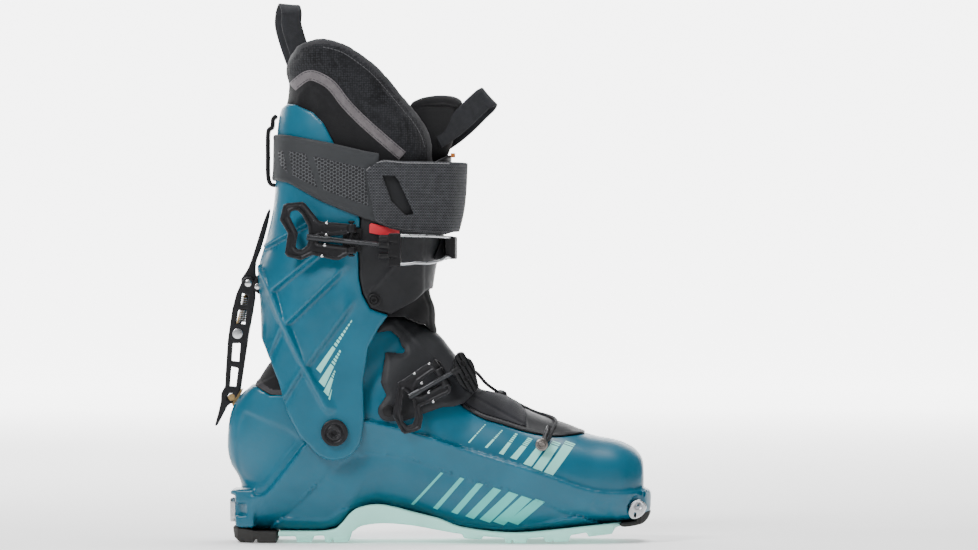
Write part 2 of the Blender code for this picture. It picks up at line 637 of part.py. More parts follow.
def make_pull_loop(name, foot, along_deg, length, width, half=7.0, thick=1.8):
    """A webbing loop that stands over a foot point and leans by an angle in the side view."""
    bm = prism(loop_outline(length, half, thick), -width / 2, width / 2)
    lean = radians(along_deg)
    along = Vector((cos(lean), 0, sin(lean)))
    across = Vector((-along.z, 0, along.x))
    for vert in bm.verts:
        run, side, wide = vert.co.x, vert.co.z, vert.co.y
        vert.co = Vector((foot[0], 0, foot[1])) + along * run + across * wide + Vector((0, side, 0))
    return add_object(name, bm, "webbing")


def make_pull_loops():
    rear = make_pull_loop("pull_loop_rear", (-95.5, 341), 99, 38.5, 15)
    below = [(-130, 300), (-130, 313.5), (-103, 343.5), (-86, 353.4), (-60, 353), (-60, 300)]
    boolean(rear, cutter(prism(below, -60, 60)), "DIFFERENCE")
    front = make_pull_loop("pull_loop_front", (22.6, 296.5), 47, 23, 16.5, half=5.5)
    tongue = [(-20, 262), (21.9, 262), (21.9, 308), (20, 312), (4.4, 314.2), (-20, 310)]
    boolean(front, cutter(prism(tongue, -60, 60)), "DIFFERENCE")


# ---------------------------------------------------------------- walk lock
def make_walk_lever():
    """The release lever behind the cuff; its knuckle sits between the bar's plates."""
    outline = [(-135.9, 184.5), (-133.5, 188.6), (-129.5, 197.5), (-124.6, 212),
               (-120.2, 233), (-117, 232.6), (-120.8, 212.4), (-126, 198),
               (-126, 187), (-121.3, 183), (-121.8, 177.4), (-127.5, 176.5), (-134.9, 178.6)]
    lever = add_object("walk_lever", prism(outline, -5.6, 5.6), "dark_steel")
    boolean(lever, cutter(pin_y(LEVER_HINGE, -9, 9, 2.1)), "DIFFERENCE")
    boolean(lever, cutter(pin_y(BAR_HINGE, -9, 9, 2.2)), "DIFFERENCE")
    set_origin(lever, (LEVER_HINGE[0], 0, LEVER_HINGE[1]))
    ear = [(-118.5, 192), (-118.5, 172), (-123.6, 174.6), (-126.8, 177.2), (-127.2, 182),
           (-125.4, 187.4)]
    bracket = add_object("lock_bracket", prism(ear, 9.4, 12), "black")
    boolean(bracket, cutter(prism(ear, -12, -9.4)), "UNION")
    boolean(bracket, cutter(pin_y(LEVER_HINGE, -11, 11, 1.8)), "UNION")
    boolean(bracket, cutter(cuff_body(-GAP)), "DIFFERENCE")


def make_lock_bar():
    """Two windowed side plates joined by a rivet and the tail, hung on the walk lever."""
    outline = [*arc(BAR_HINGE, 4.6, 10, 160, 6), (-142.3, 164.1), (-145.5, 142.1),
               (-146.9, 120.2), (-147.4, 109.6), (-150.1, 103.9), (-150.1, 97.6),
               (-154.4, 82), (-152.7, 82), (-146.4, 96), (-141.6, 99.2), (-136.6, 106.8),
               (-133.6, 127.3), (-130.8, 145.7), (-127.8, 162), (-126.9, 172)]
    windows = [
        [(-135.4, 175.4), (-131, 173.5), (-132.4, 167.5), (-136.6, 167.5)],
        [(-138.2, 162.6), (-132.6, 163.2), (-133.4, 153.6), (-139.4, 154.2)],
        [(-142, 139.4), (-136.8, 139.6), (-137.8, 127), (-142.8, 127.3)],
        [(-143, 123.2), (-138.4, 122.3), (-139.8, 110), (-144, 110)],
        disc(HEEL_PIN, PIN_RADIUS + 0.4, 10),
    ]
    bar = add_object("lock_bar", prism(outline, -BAR_OUTER, BAR_OUTER), "dark_steel")
    for window in windows:
        boolean(bar, cutter(prism(window, -20, 20)), "DIFFERENCE")
    gap_above = [(-170, 200), (-110, 200), (-110, 151.5), (-170, 151.5)]
    boolean(bar, cutter(prism(gap_above, -BAR_INNER, BAR_INNER)), "DIFFERENCE")
    gap_below = [(-110, 142), (-170, 142), (-170, 120), *arc(PIVOT, BAR_GAP_RADIUS, 152, 186, 8),
                 (-120, 60), (-100, 60)]
    boolean(bar, cutter(prism(gap_below, -BAR_INNER, BAR_INNER)), "DIFFERENCE")
    boolean(bar, cutter(pin_y(BAR_HINGE, -BAR_OUTER + 1, BAR_OUTER - 1, 1.8)), "UNION")
    set_origin(bar, (BAR_HINGE[0], 0, BAR_HINGE[1]))


# ---------------------------------------------------------------- buckles
def make_upper_lever():
    outline = [(-104.9, 236.9), (-91.1, 238.9), (-80.5, 225.6), (-59.5, 223.7),
               (-59.5, 217.2), (-75, 215), (-76, 209.5), (-59.5, 207.6), (-59.5, 202.6),
               (-66.3, 198.7), (-84.7, 202.2), (-92.5, 198.7), (-103.1, 201.5),
               (-101.7, 217.1), (-107.3, 226.6)]
    window = [(-99.4, 231.4), (-94.5, 232), (-88.8, 222), (-90, 210), (-94, 206.6),
              (-94.6, 217.4)]
    lever = add_object("upper_buckle_lever", prism(outline, -56.4, -53.4), "dark_steel")
    boolean(lever, cutter(prism(window, -60, -50)), "DIFFERENCE")
    x, y = UPPER_LEVER_HINGE
    for z_low, z_high in ((217.6, 223.4), (203.2, 207.4)):
        boolean(lever, cutter(rod((x, y, z_low), (x, y, z_high), 3.2)), "UNION")
    boolean(lever, cutter(rod((x, y, 190), (x, y, 240), 1.6)), "DIFFERENCE")
    set_origin(lever, (x, y, 213))


def make_upper_base():
    """The hinge block riveted to the cuff, and its pin."""
    x, y = UPPER_LEVER_HINGE
    base = add_object("upper_buckle_base", rod((x, y, 201), (x, y, 226), 1.3), "black")
    mid = slab([(x - 3, y + 1), (x - 3, -40), (x + 5, -40), (x + 5, y - 1)], 208.2, 216.6)
    boolean(base, cutter(mid), "UNION")
    boolean(base, cutter(cuff_body(-GAP)), "DIFFERENCE")


def make_upper_bail():
    """What the lever pulls: rod, block, wire bail and the hook at its front end."""
    x, y = UPPER_CARRIER_HINGE
    rod_start, rod_end = Vector((x - 0.5, y, 214.1)), Vector((-39, y, 209.2))
    turn_rod = add_object("upper_adjust_rod", rod(rod_start, rod_end, 1.9), "dark_steel")
    set_origin(turn_rod, tuple(rod_start))
    block_plan = [(-38.4, -56.6), (-38.4, -64), (-24, -62), (-24, -53.4)]
    block = add_object("upper_block", slab(block_plan, 194.5, 217), "black")
    set_origin(block, (x, y, 213))
    for name, z_back, z_front in (("upper_wire_top", 214.6, 212.6),
                                  ("upper_wire_bottom", 197.5, 201.5)):
        route = [(-23.2, -57.5, z_back), (-14, -53.2, z_back), (-4, -46, z_back - 0.6),
                 (5, -36.4, (z_back + z_front) / 2), (11, -26.5, z_front), (13.6, -20.2, z_front)]
        tube(name, smooth_route(route, 3), 1.1, "steel", 2)
    hook_plan = [(12.6, -19.8), (19.4, -17.6), (20.6, 2), (16.2, 2), (14.6, -14)]
    hook = add_object("upper_hook", slab(hook_plan, 199.4, 214.6), "black")
    set_origin(hook, (x, y, 207))
    rack = [(9.6, -14), (13.8, -13.4), (14.8, 14), (10.4, 14)]
    plate = add_object("front_rack", slab(rack, 200, 214), "black")
    boolean(plate, cutter(cuff_body(-GAP)), "DIFFERENCE")


def make_instep_buckle():
    outline = [(-25.3, 113.5), (-8.5, 124), (-3.4, 120.4), (1, 120.8), (3.2, 119.2), (8.4, 110.6),
               (9.6, 107.6), (-9, 98), (-7.3, 88.6), (-9.1, 80.6), (-20.4, 77.1),
               (-28.9, 90)]
    window = [(-22.6, 106.5), (-13.5, 103.2), (-13.5, 88.4), (-15, 84.2), (-19.6, 82.6),
              (-23.6, 90.6)]
    lever = add_object("instep_buckle_lever", prism(outline, -47.2, -44.4), "dark_steel")
    boolean(lever, cutter(prism(window, -60, -40)), "DIFFERENCE")
    middle = Vector((INSTEP_LEVER_HINGE[0], INSTEP_LEVER_HINGE[1], INSTEP_HINGE_Z))
    along = Vector(INSTEP_AXIS)
    barrel = rod(middle - 6.8 * along, middle + 6.8 * along, 3.1)
    boolean(lever, cutter(barrel), "UNION")
    boolean(lever, cutter(rod(middle - 15 * along, middle + 15 * along, 1.5)), "DIFFERENCE")
    set_origin(lever, tuple(middle))
    base = add_object("instep_buckle_base", rod(middle - 8 * along, middle + 11 * along, 1.2),
                      "black")
    x, z = middle.x + 9.4 * along.x, middle.z + 9.4 * along.z
    ear = [(x - 2.8, z + 0.4), (x + 3, z - 1.0), (x + 3.4, z + 2.4), (x - 1.0, z + 4.6)]
    boolean(base, cutter(prism(ear, middle.y - 2, -20)), "UNION")
    boolean(base, cutter(shell_body(-3 * GAP - FLAP_WALL)), "DIFFERENCE")
    start, end = Vector((-17.5, -51, 103)), Vector((11.9, -51, 119.5))
    turn_rod = add_object("instep_adjust_rod", rod(start, end, 1.8), "dark_steel")
    set_origin(turn_rod, tuple(start))
    outline = [(16, 132.6), (21.5, 133.6), (26.4, 126.6), (31, 108.6), (27, 105.4),
               (15.8, 112.6), (13.4, 122.8)]
    block = add_object("instep_block", prism(outline, -53.4, -16), "black")
    boolean(block, cutter(shell_body(-4 * GAP - FLAP_WALL)), "DIFFERENCE")
    set_origin(block, (INSTEP_CARRIER_HINGE[0], INSTEP_CARRIER_HINGE[1], 108))


def make_tag():
    """A plain tag under the power strap."""
    tag = [(-45.1, 223), (-24.1, 218.6), (-24.1, 213.6), (-45.1, 217.6)]
    skin("side_tag", "red", cuff_body(-1.4), cuff_body(-GAP), tag, (-80, 0))


def build():
    clear_scene()
    make_lower_shell()
    make_sole()
    make_heel_pad()
    make_toe_bumper()
    make_binding_fittings()
    make_inner_floor()
    make_foot_liner()
    make_rear_collar()
    make_flap()
    make_gaiter()
    make_instep_cable()
    make_heel_pin()
    make_pivots()
    make_cuff()
    make_cuff_liner()
    make_tongue()
    make_power_strap()
    make_pull_loops()
    make_walk_lever()
    make_lock_bar()
    make_upper_lever()
    make_upper_base()
    make_upper_bail()
    make_instep_buckle()
    make_tag()
    for obj in bpy.context.collection.objects:
        smooth_round(obj)


build()
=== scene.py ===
"""Looks of the alpine touring boot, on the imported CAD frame.

Shapes are modelled in millimetres, with y = 0 on the boot's middle plane, and become metres
when a mesh is made. Moulded pieces are sampled distance fields (negative inside) that are
turned into quad meshes; webbing, wires and prints are laid on or swept along them.
"""

from math import cos, pi, sin

import bmesh
import bpy
import numpy as np
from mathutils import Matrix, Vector
from mathutils.bvhtree import BVHTree


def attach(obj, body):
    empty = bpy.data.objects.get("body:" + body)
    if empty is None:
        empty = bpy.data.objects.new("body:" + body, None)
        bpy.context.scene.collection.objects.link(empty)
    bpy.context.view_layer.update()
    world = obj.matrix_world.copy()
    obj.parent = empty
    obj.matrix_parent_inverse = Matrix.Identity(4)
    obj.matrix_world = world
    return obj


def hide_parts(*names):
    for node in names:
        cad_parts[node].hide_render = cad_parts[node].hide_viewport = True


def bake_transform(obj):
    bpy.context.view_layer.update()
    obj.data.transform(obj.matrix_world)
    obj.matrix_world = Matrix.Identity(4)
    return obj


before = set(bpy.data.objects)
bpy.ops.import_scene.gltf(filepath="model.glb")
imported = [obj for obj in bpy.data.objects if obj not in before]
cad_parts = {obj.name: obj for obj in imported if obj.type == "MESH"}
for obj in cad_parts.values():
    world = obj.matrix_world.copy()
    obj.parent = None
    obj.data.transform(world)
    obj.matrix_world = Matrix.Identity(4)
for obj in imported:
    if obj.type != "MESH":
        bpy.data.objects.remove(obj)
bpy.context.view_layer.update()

MM = 0.001
MID_Y = 4.5                    # the boot's middle plane in the frame, mm
PIVOT = (-69.5, 77.8)          # cuff hinge, XZ
CUFF_WALL = 3.5
SHELL_WALL = 4.0
TOE_SHIFT = 4.0
TOE_HALF = 33.0
TOE_END = 149.3
LEVER_HINGE = (-124.3, 180.0)
BAR_HINGE = (-130.9, 182.3)
HEEL_PIN = (-143.1, 101.8)
SHELL_POWERS = (3.4, 2.3)      # squareness of a shell section above and below its middle
CUFF_POWERS = (2.25, 2.8)      # the same for the cuff's front and back
RING_MIDDLE, RING_REACH, RING_WIDE = -48.5, 63, 50.3   # oval of the cuff under the straps
RAY_START = 120                # how far out sideways rays start

SHELL_SECTIONS = [
    ((149.3, 41), (149.3, 54), 13, 4.0), ((147.0, 26), (147.0, 60), 24, 4.0),
    ((141.0, 15), (141.0, 66.5), 33.5, 4.0), ((130.0, 13.5), (130, 71.5), 42, 3.5),
    ((112.0, 11.5), (111, 75.5), 48, 3.0), ((94.0, 9.8), (93, 82.5), 50.5, 2.5),
    ((73.0, 7.8), (70, 90.0), 51, 2.0), ((51.0, 7.0), (55, 98.5), 48.5, 1.5),
    ((20.6, 10.0), (42, 105), 44, 1.0), ((-6.0, 18.5), (32, 107.5), 40.5, 0.5),
    ((-24.0, 23.5), (24, 117), 38.5, 0.0), ((-42.0, 26.0), (15, 127), 37.5, 0.0),
    ((-59.0, 19.5), (8.5, 135), 37.5, 0.0), ((-74.0, 8.5), (3, 142), 37.5, 0.0),
    ((-108.0, 8.2), (-4, 148.5), 37.5, 0.0), ((-134.5, 12.0), (-9, 152), 36.0, 0.0),
    ((-136.0, 41.0), (-12, 154), 36.0, 0.0), ((-144.6, 58.0), (-15, 156), 36.0, 0.0),
    ((-146.0, 74.0), (-18, 157.5), 36.0, 0.0), ((-143.5, 91.6), (-21, 159), 35.5, 0.0),
    ((-136.5, 103.5), (-24, 160), 35.0, 0.0), ((-127.4, 111.7), (-27, 161), 34.5, 0.0),
    ((-117.0, 127.0), (-30, 162), 34.0, 0.0), ((-105.0, 139.0), (-34, 163), 33.5, 0.0),
    ((-97.5, 169.0), (-26.5, 193), 33.5, 0.0)]
HEEL_FROM = 15                 # sections from here on have the thicker heel wall
CUFF_SECTIONS = [
    (-135, 5, 50, 45.3), (-131, 5, 115, 45.3), (-123, 3, 140, 45.5), (-122.5, -0.5, 165, 46.2),
    (-124.2, 2, 190, 47.6), (-118.7, 7, 212, 49.0), (-113.5, 12.5, 235, 50.0),
    (-111.4, 14.5, 262, 50.5), (-110.5, 14.5, 290, 50.5), (-106.5, 10, 318, 47.5),
    (-105.5, 8, 356, 46.5)]


# ---------------------------------------------------------------- fields
def sstep(value, low, high):
    t = np.clip((value - low) / (high - low), 0, 1)
    return t * t * (3 - 2 * t)


def ramp(value, low, high):
    return np.clip((value - low) / (high - low), 0, 1)


def smax(a, b, k):
    """Largest of two fields, with an edge rounded over k."""
    h = np.clip(0.5 + 0.5 * (a - b) / k, 0, 1)
    return b + (a - b) * h + k * h * (1 - h)


def smin(a, b, k):
    return -smax(-a, -b, k)


def spline(points, steps=6, closed=False):
    """Catmull-Rom points through a list of places of any dimension."""
    p = np.array(points, float)
    if closed:
        p = np.vstack([p[-1], p, p[0], p[1]])
    else:
        p = np.vstack([2 * p[0] - p[1], p, 2 * p[-1] - p[-2]])
    out = []
    for a, b, c, d in zip(p, p[1:], p[2:], p[3:]):
        for i in range(steps):
            t = i / steps
            out.append(0.5 * (2 * b + (c - a) * t + (2 * a - 5 * b + 4 * c - d) * t ** 2
                              + (3 * b - a - 3 * c + d) * t ** 3))
    if not closed:
        out.append(p[-2])
    return np.array(out)


def line_distance(u, v, points, closed=False):
    """Distance in a plane to a run of straight lines."""
    pts = list(map(tuple, points))
    ends = pts[1:] + pts[:1] if closed else pts[1:]
    best = None
    for (ax, ay), (bx, by) in zip(pts, ends):
        ex, ey = bx - ax, by - ay
        size = ex * ex + ey * ey
        if size == 0:
            continue
        wx, wy = u - ax, v - ay
        t = np.clip((wx * ex + wy * ey) / size, 0, 1)
        d = (wx - ex * t) ** 2 + (wy - ey * t) ** 2
        best = d if best is None else np.minimum(best, d)
    return np.sqrt(best)


def polygon(u, v, points):
    """Signed distance to a closed outline, negative inside."""
    pts = list(map(tuple, points))
    inside = np.zeros(np.broadcast(u, v).shape, bool)
    for (ax, ay), (bx, by) in zip(pts, pts[1:] + pts[:1]):
        if ay == by:
            continue
        crosses = ((ay > v) != (by > v)) & (u < (bx - ax) * (v - ay) / (by - ay) + ax)
        inside ^= crosses
    return np.where(inside, -1, 1) * line_distance(u, v, pts, True)


def signed_line(u, v, points, reach=400):
    """Signed distance to an open line, positive on its right-hand side."""
    p = np.array(points, float)
    first = p[0] + (p[0] - p[1]) / np.linalg.norm(p[0] - p[1]) * reach
    last = p[-1] + (p[-1] - p[-2]) / np.linalg.norm(p[-1] - p[-2]) * reach
    route = np.vstack([first, p, last])
    best, side = None, None
    for a, b in zip(route, route[1:]):
        e = b - a
        wx, wy = u - a[0], v - a[1]
        t = np.clip((wx * e[0] + wy * e[1]) / (e @ e), 0, 1)
        d = (wx - e[0] * t) ** 2 + (wy - e[1] * t) ** 2
        s = np.sign(wx * e[1] - wy * e[0])
        if best is None:
            best, side = d, s
        else:
            nearer = d < best
            best, side = np.where(nearer, d, best), np.where(nearer, s, side)
    return np.sqrt(best) * side


def slab(plane, across, middle, half, edge):
    """A plane outline with thickness, its edges rounded."""
    q = np.abs(across - middle) - half
    a, b = plane + edge, q + edge
    outside = np.sqrt(np.maximum(a, 0) ** 2 + np.maximum(b, 0) ** 2)
    return outside + np.minimum(np.maximum(a, b), 0) - edge


def hexagon(u, v):
    """Half the width across the flats of the hexagon through a point."""
    return np.maximum(np.abs(u) * 0.866 + np.abs(v) * 0.5, np.abs(v))


def cylinder(g, a, b, radius, edge=0.3):
    """A flat-ended cylinder between two points, its edges rounded."""
    a, b = np.array(a, float), np.array(b, float)
    length = np.linalg.norm(b - a)
    e = (b - a) / length
    wx, wy, wz = g.x - a[0], g.y - a[1], g.z - a[2]
    along = wx * e[0] + wy * e[1] + wz * e[2]
    side = np.sqrt(np.maximum(wx ** 2 + wy ** 2 + wz ** 2 - along ** 2, 0)) - radius
    return slab(side, along, length / 2, length / 2, edge)


class Grid:
    """A box of sample points, step apart."""

    def __init__(self, low, high, step):
        self.low, self.step = np.array(low, float), step
        counts = [int(np.ceil((h - l) / step)) + 1 for l, h in zip(low, high)]
        axes = [(l + step * np.arange(n)).astype(np.float32) for l, n in zip(low, counts)]
        self.x, self.y, self.z = (axes[0][:, None, None], axes[1][None, :, None],
                                  axes[2][None, None, :])
        self.xz = self.x[:, 0, :], self.z[:, 0, :]
        self.xy = self.x[:, :, 0], self.y[:, :, 0]
        self.shape = tuple(counts)

    def side(self, points):
        """Signed distance to a side-view outline."""
        return polygon(*self.xz, points)[:, None, :]

    def plan(self, points):
        """Signed distance to an outline seen from above."""
        return polygon(*self.xy, points)[:, :, None]

    def full(self, field):
        return np.broadcast_to(field, self.shape)


def surface(field, grid):
    """Quads round the zero level of a sampled field, one vertex in each crossed cell."""
    f = np.ascontiguousarray(grid.full(field), dtype=np.float32)
    inside = f < 0
    cut = [slice(None, -1), slice(1, None)]
    count = np.zeros(tuple(n - 1 for n in f.shape), np.int8)
    for i in (0, 1):
        for j in (0, 1):
            for k in (0, 1):
                count += inside[cut[i], cut[j], cut[k]]
    active = (count > 0) & (count < 8)
    cells = np.argwhere(active)
    index = np.full(active.shape, -1, np.int32)
    index[active] = np.arange(len(cells))
    total, number = np.zeros((len(cells), 3)), np.zeros(len(cells))
    corners = [(i, j, k) for i in (0, 1) for j in (0, 1) for k in (0, 1)]
    for a in corners:
        for axis in range(3):
            if a[axis]:
                continue
            b = list(a)
            b[axis] = 1
            fa = f[tuple((cells + a).T)]
            fb = f[tuple((cells + b).T)]
            crossed = (fa < 0) != (fb < 0)
            t = np.where(crossed, fa / np.where(fa == fb, 1, fa - fb), 0)
            place = np.repeat(np.array(a, float)[None], len(cells), 0)
            place[:, axis] += t
            total[crossed] += place[crossed]
            number[crossed] += 1
    verts = (cells + total / number[:, None]) * grid.step + grid.low
    quads = []
    for axis in range(3):
        u, v = (axis + 1) % 3, (axis + 2) % 3
        low, high = [slice(None)] * 3, [slice(None)] * 3
        low[axis], high[axis] = slice(None, -1), slice(1, None)
        change = inside[tuple(low)] != inside[tuple(high)]
        trim = [slice(None)] * 3
        trim[u] = trim[v] = slice(1, -1)
        edges = np.argwhere(change[tuple(trim)])
        edges[:, u] += 1
        edges[:, v] += 1
        down = inside[tuple(edges.T)]
        ring = []
        for du, dv in ((1, 1), (0, 1), (0, 0), (1, 0)):
            cell = edges.copy()
            cell[:, u] -= du
            cell[:, v] -= dv
            ring.append(index[tuple(cell.T)])
        faces = np.stack(ring, 1)
        faces[~down] = faces[~down][:, ::-1]
        quads.append(faces)
    return verts, np.vstack(quads)


# ---------------------------------------------------------------- objects
def to_frame(verts):
    return (np.asarray(verts, float) + (0, MID_Y, 0)) * MM


def new_object(name, verts, faces, mat, uv=None):
    """A mesh in millimetres becomes an object in metres. uv is one pair for each vertex."""
    mesh = bpy.data.meshes.new(name)
    mesh.from_pydata(to_frame(verts).tolist(), [], [list(map(int, f)) for f in faces])
    mesh.update()
    mesh.shade_smooth()
    if uv is not None:
        layer = mesh.uv_layers.new(name="UVMap")
        loops = np.empty(len(mesh.loops), np.int32)
        mesh.loops.foreach_get("vertex_index", loops)
        layer.data.foreach_set("uv", np.asarray(uv, np.float32)[loops].ravel())
    mesh.materials.append(mat)
    made = bpy.data.objects.new(name, mesh)
    bpy.context.scene.collection.objects.link(made)
    return made


def put(made, body, stands_for=()):
    """A piece rides on its body and stands for its CAD nodes."""
    if body:
        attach(made, body)
    if stands_for:
        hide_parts(*stands_for)
    return made


def solid(name, low, high, step, build, mat, body, stands_for=(), uv=None):
    """Mesh of the field that build(grid) returns, riding on a body."""
    g = Grid(low, high, step)
    verts, faces = surface(build(g), g)
    made = new_object(name, verts, faces, mat, None if uv is None else uv(verts))
    return put(made, body, stands_for)


def places_of(items, field="co"):
    """Vertex places or face centres of a mesh, in millimetres."""
    places = np.empty(len(items) * 3)
    items.foreach_get(field, places)
    return places.reshape(-1, 3) / MM - (0, MID_Y, 0)


def tree_of(obj):
    """Ray-cast tree of an object's mesh, in millimetres."""
    mesh = obj.data
    polys = [tuple(p.vertices) for p in mesh.polygons]
    return BVHTree.FromPolygons([Vector(v) for v in places_of(mesh.vertices)], polys)


def from_side(tree, x, z, side):
    """Where a level ray from one side meets a surface, and the normal there."""
    return tree.ray_cast(Vector((x, side * RAY_START, z)), Vector((0, -side, 0)))[:2]


def headings(route):
    """Unit direction at each point of a route."""
    runs = np.gradient(route, axis=0)
    return runs / np.linalg.norm(runs, axis=1)[:, None]


def laid_patch(tree, corners, side, lift, pitch=1.2):
    """A four-cornered XZ patch laid on a surface from one side; returns verts, quads, uv."""
    a, b, c, d = (np.array(p, float) for p in corners)
    wide = max(2, int(max(np.linalg.norm(b - a), np.linalg.norm(c - d)) / pitch) + 1)
    tall = max(2, int(max(np.linalg.norm(d - a), np.linalg.norm(c - b)) / pitch) + 1)
    verts, uv, faces = [], [], []
    for j in range(tall):
        t = j / (tall - 1)
        for i in range(wide):
            s = i / (wide - 1)
            x, z = (a * (1 - s) + b * s) * (1 - t) + (d * (1 - s) + c * s) * t
            hit, normal = from_side(tree, x, z, side)
            if hit is None:
                return [], [], []
            place = hit + normal * lift
            verts.append(tuple(place))
            uv.append((x * MM, z * MM))
    for j in range(tall - 1):
        for i in range(wide - 1):
            k = j * wide + i
            quad = (k, k + 1, k + wide + 1, k + wide)
            faces.append(quad if side < 0 else quad[::-1])
    return verts, faces, uv


def laid(name, tree, patches, mat, body, lift=0.12, sides=(-1, 1), pitch=1.2):
    """Thin prints or inlays laid on both sides of a piece, as one object."""
    verts, faces, uv = [], [], []
    for side in sides:
        for corners in patches:
            v, f, w = laid_patch(tree, corners, side, lift, pitch)
            faces += [tuple(i + len(verts) for i in face) for face in f]
            verts += v
            uv += w
    return put(new_object(name, verts, faces, mat, uv), body)


def sweep(name, route, section, mat, body, up=(0, 1, 0), stands_for=(), ups=None):
    """Sweep a 2D section along a route; the section's first axis lies along up."""
    route = np.array(route, float)
    runs = headings(route)
    verts, faces, uv = [], [], []
    n = len(section)
    length = 0.0
    for i, (place, run) in enumerate(zip(route, runs)):
        lift = np.array(ups[i] if ups is not None else up, float)
        across = lift - run * (lift @ run)
        across /= np.linalg.norm(across)
        out = np.cross(run, across)
        if i:
            length += np.linalg.norm(place - route[i - 1])
        for k, (p, q) in enumerate(section):
            verts.append(place + across * p + out * q)
            uv.append((length * MM, p * MM))
    for i in range(len(route) - 1):
        for k in range(n):
            a, b = i * n + k, i * n + (k + 1) % n
            faces.append((a, b, b + n, a + n))
    faces.append(tuple(range(n))[::-1])
    faces.append(tuple((len(route) - 1) * n + k for k in range(n)))
    made = new_object(name, verts, faces, mat, uv)
    face_outward(made)
    return put(made, body, stands_for)


def face_outward(obj):
    """Turn a mesh's faces so that their normals agree."""
    bm = bmesh.new()
    bm.from_mesh(obj.data)
    bmesh.ops.recalc_face_normals(bm, faces=bm.faces)
    bm.to_mesh(obj.data)
    bm.free()


def round_section(radius, sides=12):
    return [(radius * cos(2 * pi * i / sides), radius * sin(2 * pi * i / sides))
            for i in range(sides)]


def band_section(width, thick, sides=3):
    """A flat band with rounded edges."""
    half, r = width / 2 - thick / 2, thick / 2
    points = []
    for end in (1, -1):
        for i in range(sides + 1):
            turn = -pi / 2 + pi * i / sides
            points.append((end * (half + r * cos(turn)), end * r * sin(turn)))
        for i in range(1, 6):
            points.append((end * half * (1 - i / 3), end * r))
    return points


# ---------------------------------------------------------------- the two body forms
def shell_form(g):
    """Distance to the foot shell's outer form, with the heel's share of each XZ place."""
    x, z = g.xz
    keys = [(*low, *high, half, shift, i)
            for i, (low, high, half, shift) in enumerate(SHELL_SECTIONS)]
    blank = np.zeros(np.broadcast(x, z).shape)
    best, along, half, shift, order = (blank + v for v in (50.0, 9.0, 30.0, 0.0, 0.0))
    before = None
    for row in spline(keys, 5):
        ex, ez = row[2] - row[0], row[3] - row[1]
        size = np.hypot(ex, ez)
        wx, wz = x - row[0], z - row[1]
        gap = (ex * wz - ez * wx) / size
        place = 1 - 2 * (wx * ex + wz * ez) / size ** 2
        if before is not None:
            gap0, place0, row0 = before
            t = np.where(gap0 != gap, gap0 / np.where(gap0 == gap, 1, gap0 - gap), -1)
            a = place0 + (place - place0) * t
            take = (t >= 0) & (t <= 1) & (np.abs(a) < best)
            best = np.where(take, np.abs(a), best)
            along = np.where(take, a, along)
            half = np.where(take, row0[4] + (row[4] - row0[4]) * t, half)
            shift = np.where(take, row0[5] + (row[5] - row0[5]) * t, shift)
            order = np.where(take, row0[6] + (row[6] - row0[6]) * t, order)
        before = gap, place, row
    power = np.where(along > 0, *SHELL_POWERS).astype(np.float32)[:, None, :]
    a = np.abs(along).astype(np.float32)[:, None, :]
    v = np.abs((g.y - shift[:, None, :]) / half[:, None, :]).astype(np.float32)
    n = (a ** power + v ** power) ** (1 / power)
    slope = np.gradient(n, g.step)
    steep = np.sqrt(sum(s * s for s in slope))
    d = np.clip((n - 1) / np.maximum(steep, 0.004), -60, 60)
    heel = sstep(order, HEEL_FROM - 1, HEEL_FROM + 0.5) * sstep(along, 0.2, 0.9)
    return d.astype(np.float32), heel[:, None, :]


def cuff_form(g):
    """Distance to the cuff's outer form."""
    rows = spline(CUFF_SECTIONS, 6)
    z = g.z[0, 0, :]
    back, front, wide = (np.interp(z, rows[:, 2], rows[:, i])[None, None, :] for i in (0, 1, 3))
    middle, reach = (back + front) / 2, (front - back) / 2
    u, v = (g.x - middle) / reach, g.y / wide
    power = np.where(u > 0, *CUFF_POWERS)
    au, av = np.maximum(np.abs(u), 1e-4), np.maximum(np.abs(v), 1e-4)
    n = (au ** power + av ** power) ** (1 / power)
    scale = n ** (1 - power)
    steep = np.sqrt((au ** (power - 1) * scale / reach) ** 2
                    + (av ** (power - 1) * scale / wide) ** 2)
    return (n - 1) / steep


def ring_lengths():
    """Arc length round the cuff's form against angle, for patterns along the straps."""
    turns = np.linspace(-pi, pi, 361)
    c, s = np.cos(turns), np.sin(turns)
    power = np.where(c > 0, *CUFF_POWERS)
    u, v = np.sign(c) * np.abs(c) ** (2 / power), np.sign(s) * np.abs(s) ** (2 / power)
    x, y = RING_MIDDLE + RING_REACH * u, RING_WIDE * v
    run = np.concatenate([[0], np.cumsum(np.hypot(np.diff(x), np.diff(y)))])
    return np.arctan2(y / RING_WIDE, (x - RING_MIDDLE) / RING_REACH), run


RING_TURNS, RING_RUN = ring_lengths()


def ring_uv(verts):
    """(length round the cuff, height) in metres for points near the cuff's form."""
    turn = np.arctan2(verts[:, 1] / RING_WIDE, (verts[:, 0] - RING_MIDDLE) / RING_REACH)
    return np.stack([np.interp(turn, RING_TURNS, RING_RUN), verts[:, 2]], 1) * MM


# ---------------------------------------------------------------- materials
def material(name):
    mat = bpy.data.materials.new(name)
    mat.use_nodes = True
    return mat, mat.node_tree, mat.node_tree.nodes["Principled BSDF"]


def add(tree, kind, **settings):
    made = tree.nodes.new(kind)
    for key, value in settings.items():
        if key in made.inputs:
            made.inputs[key].default_value = value
        else:
            setattr(made, key, value)
    return made


def math_node(tree, operation, a, b=None):
    made = tree.nodes.new("ShaderNodeMath")
    made.operation = operation
    for slot, value in zip(made.inputs, (a, b)):
        if value is None:
            continue
        if isinstance(value, (int, float)):
            slot.default_value = value
        else:
            tree.links.new(value, slot)
    return made.outputs[0]


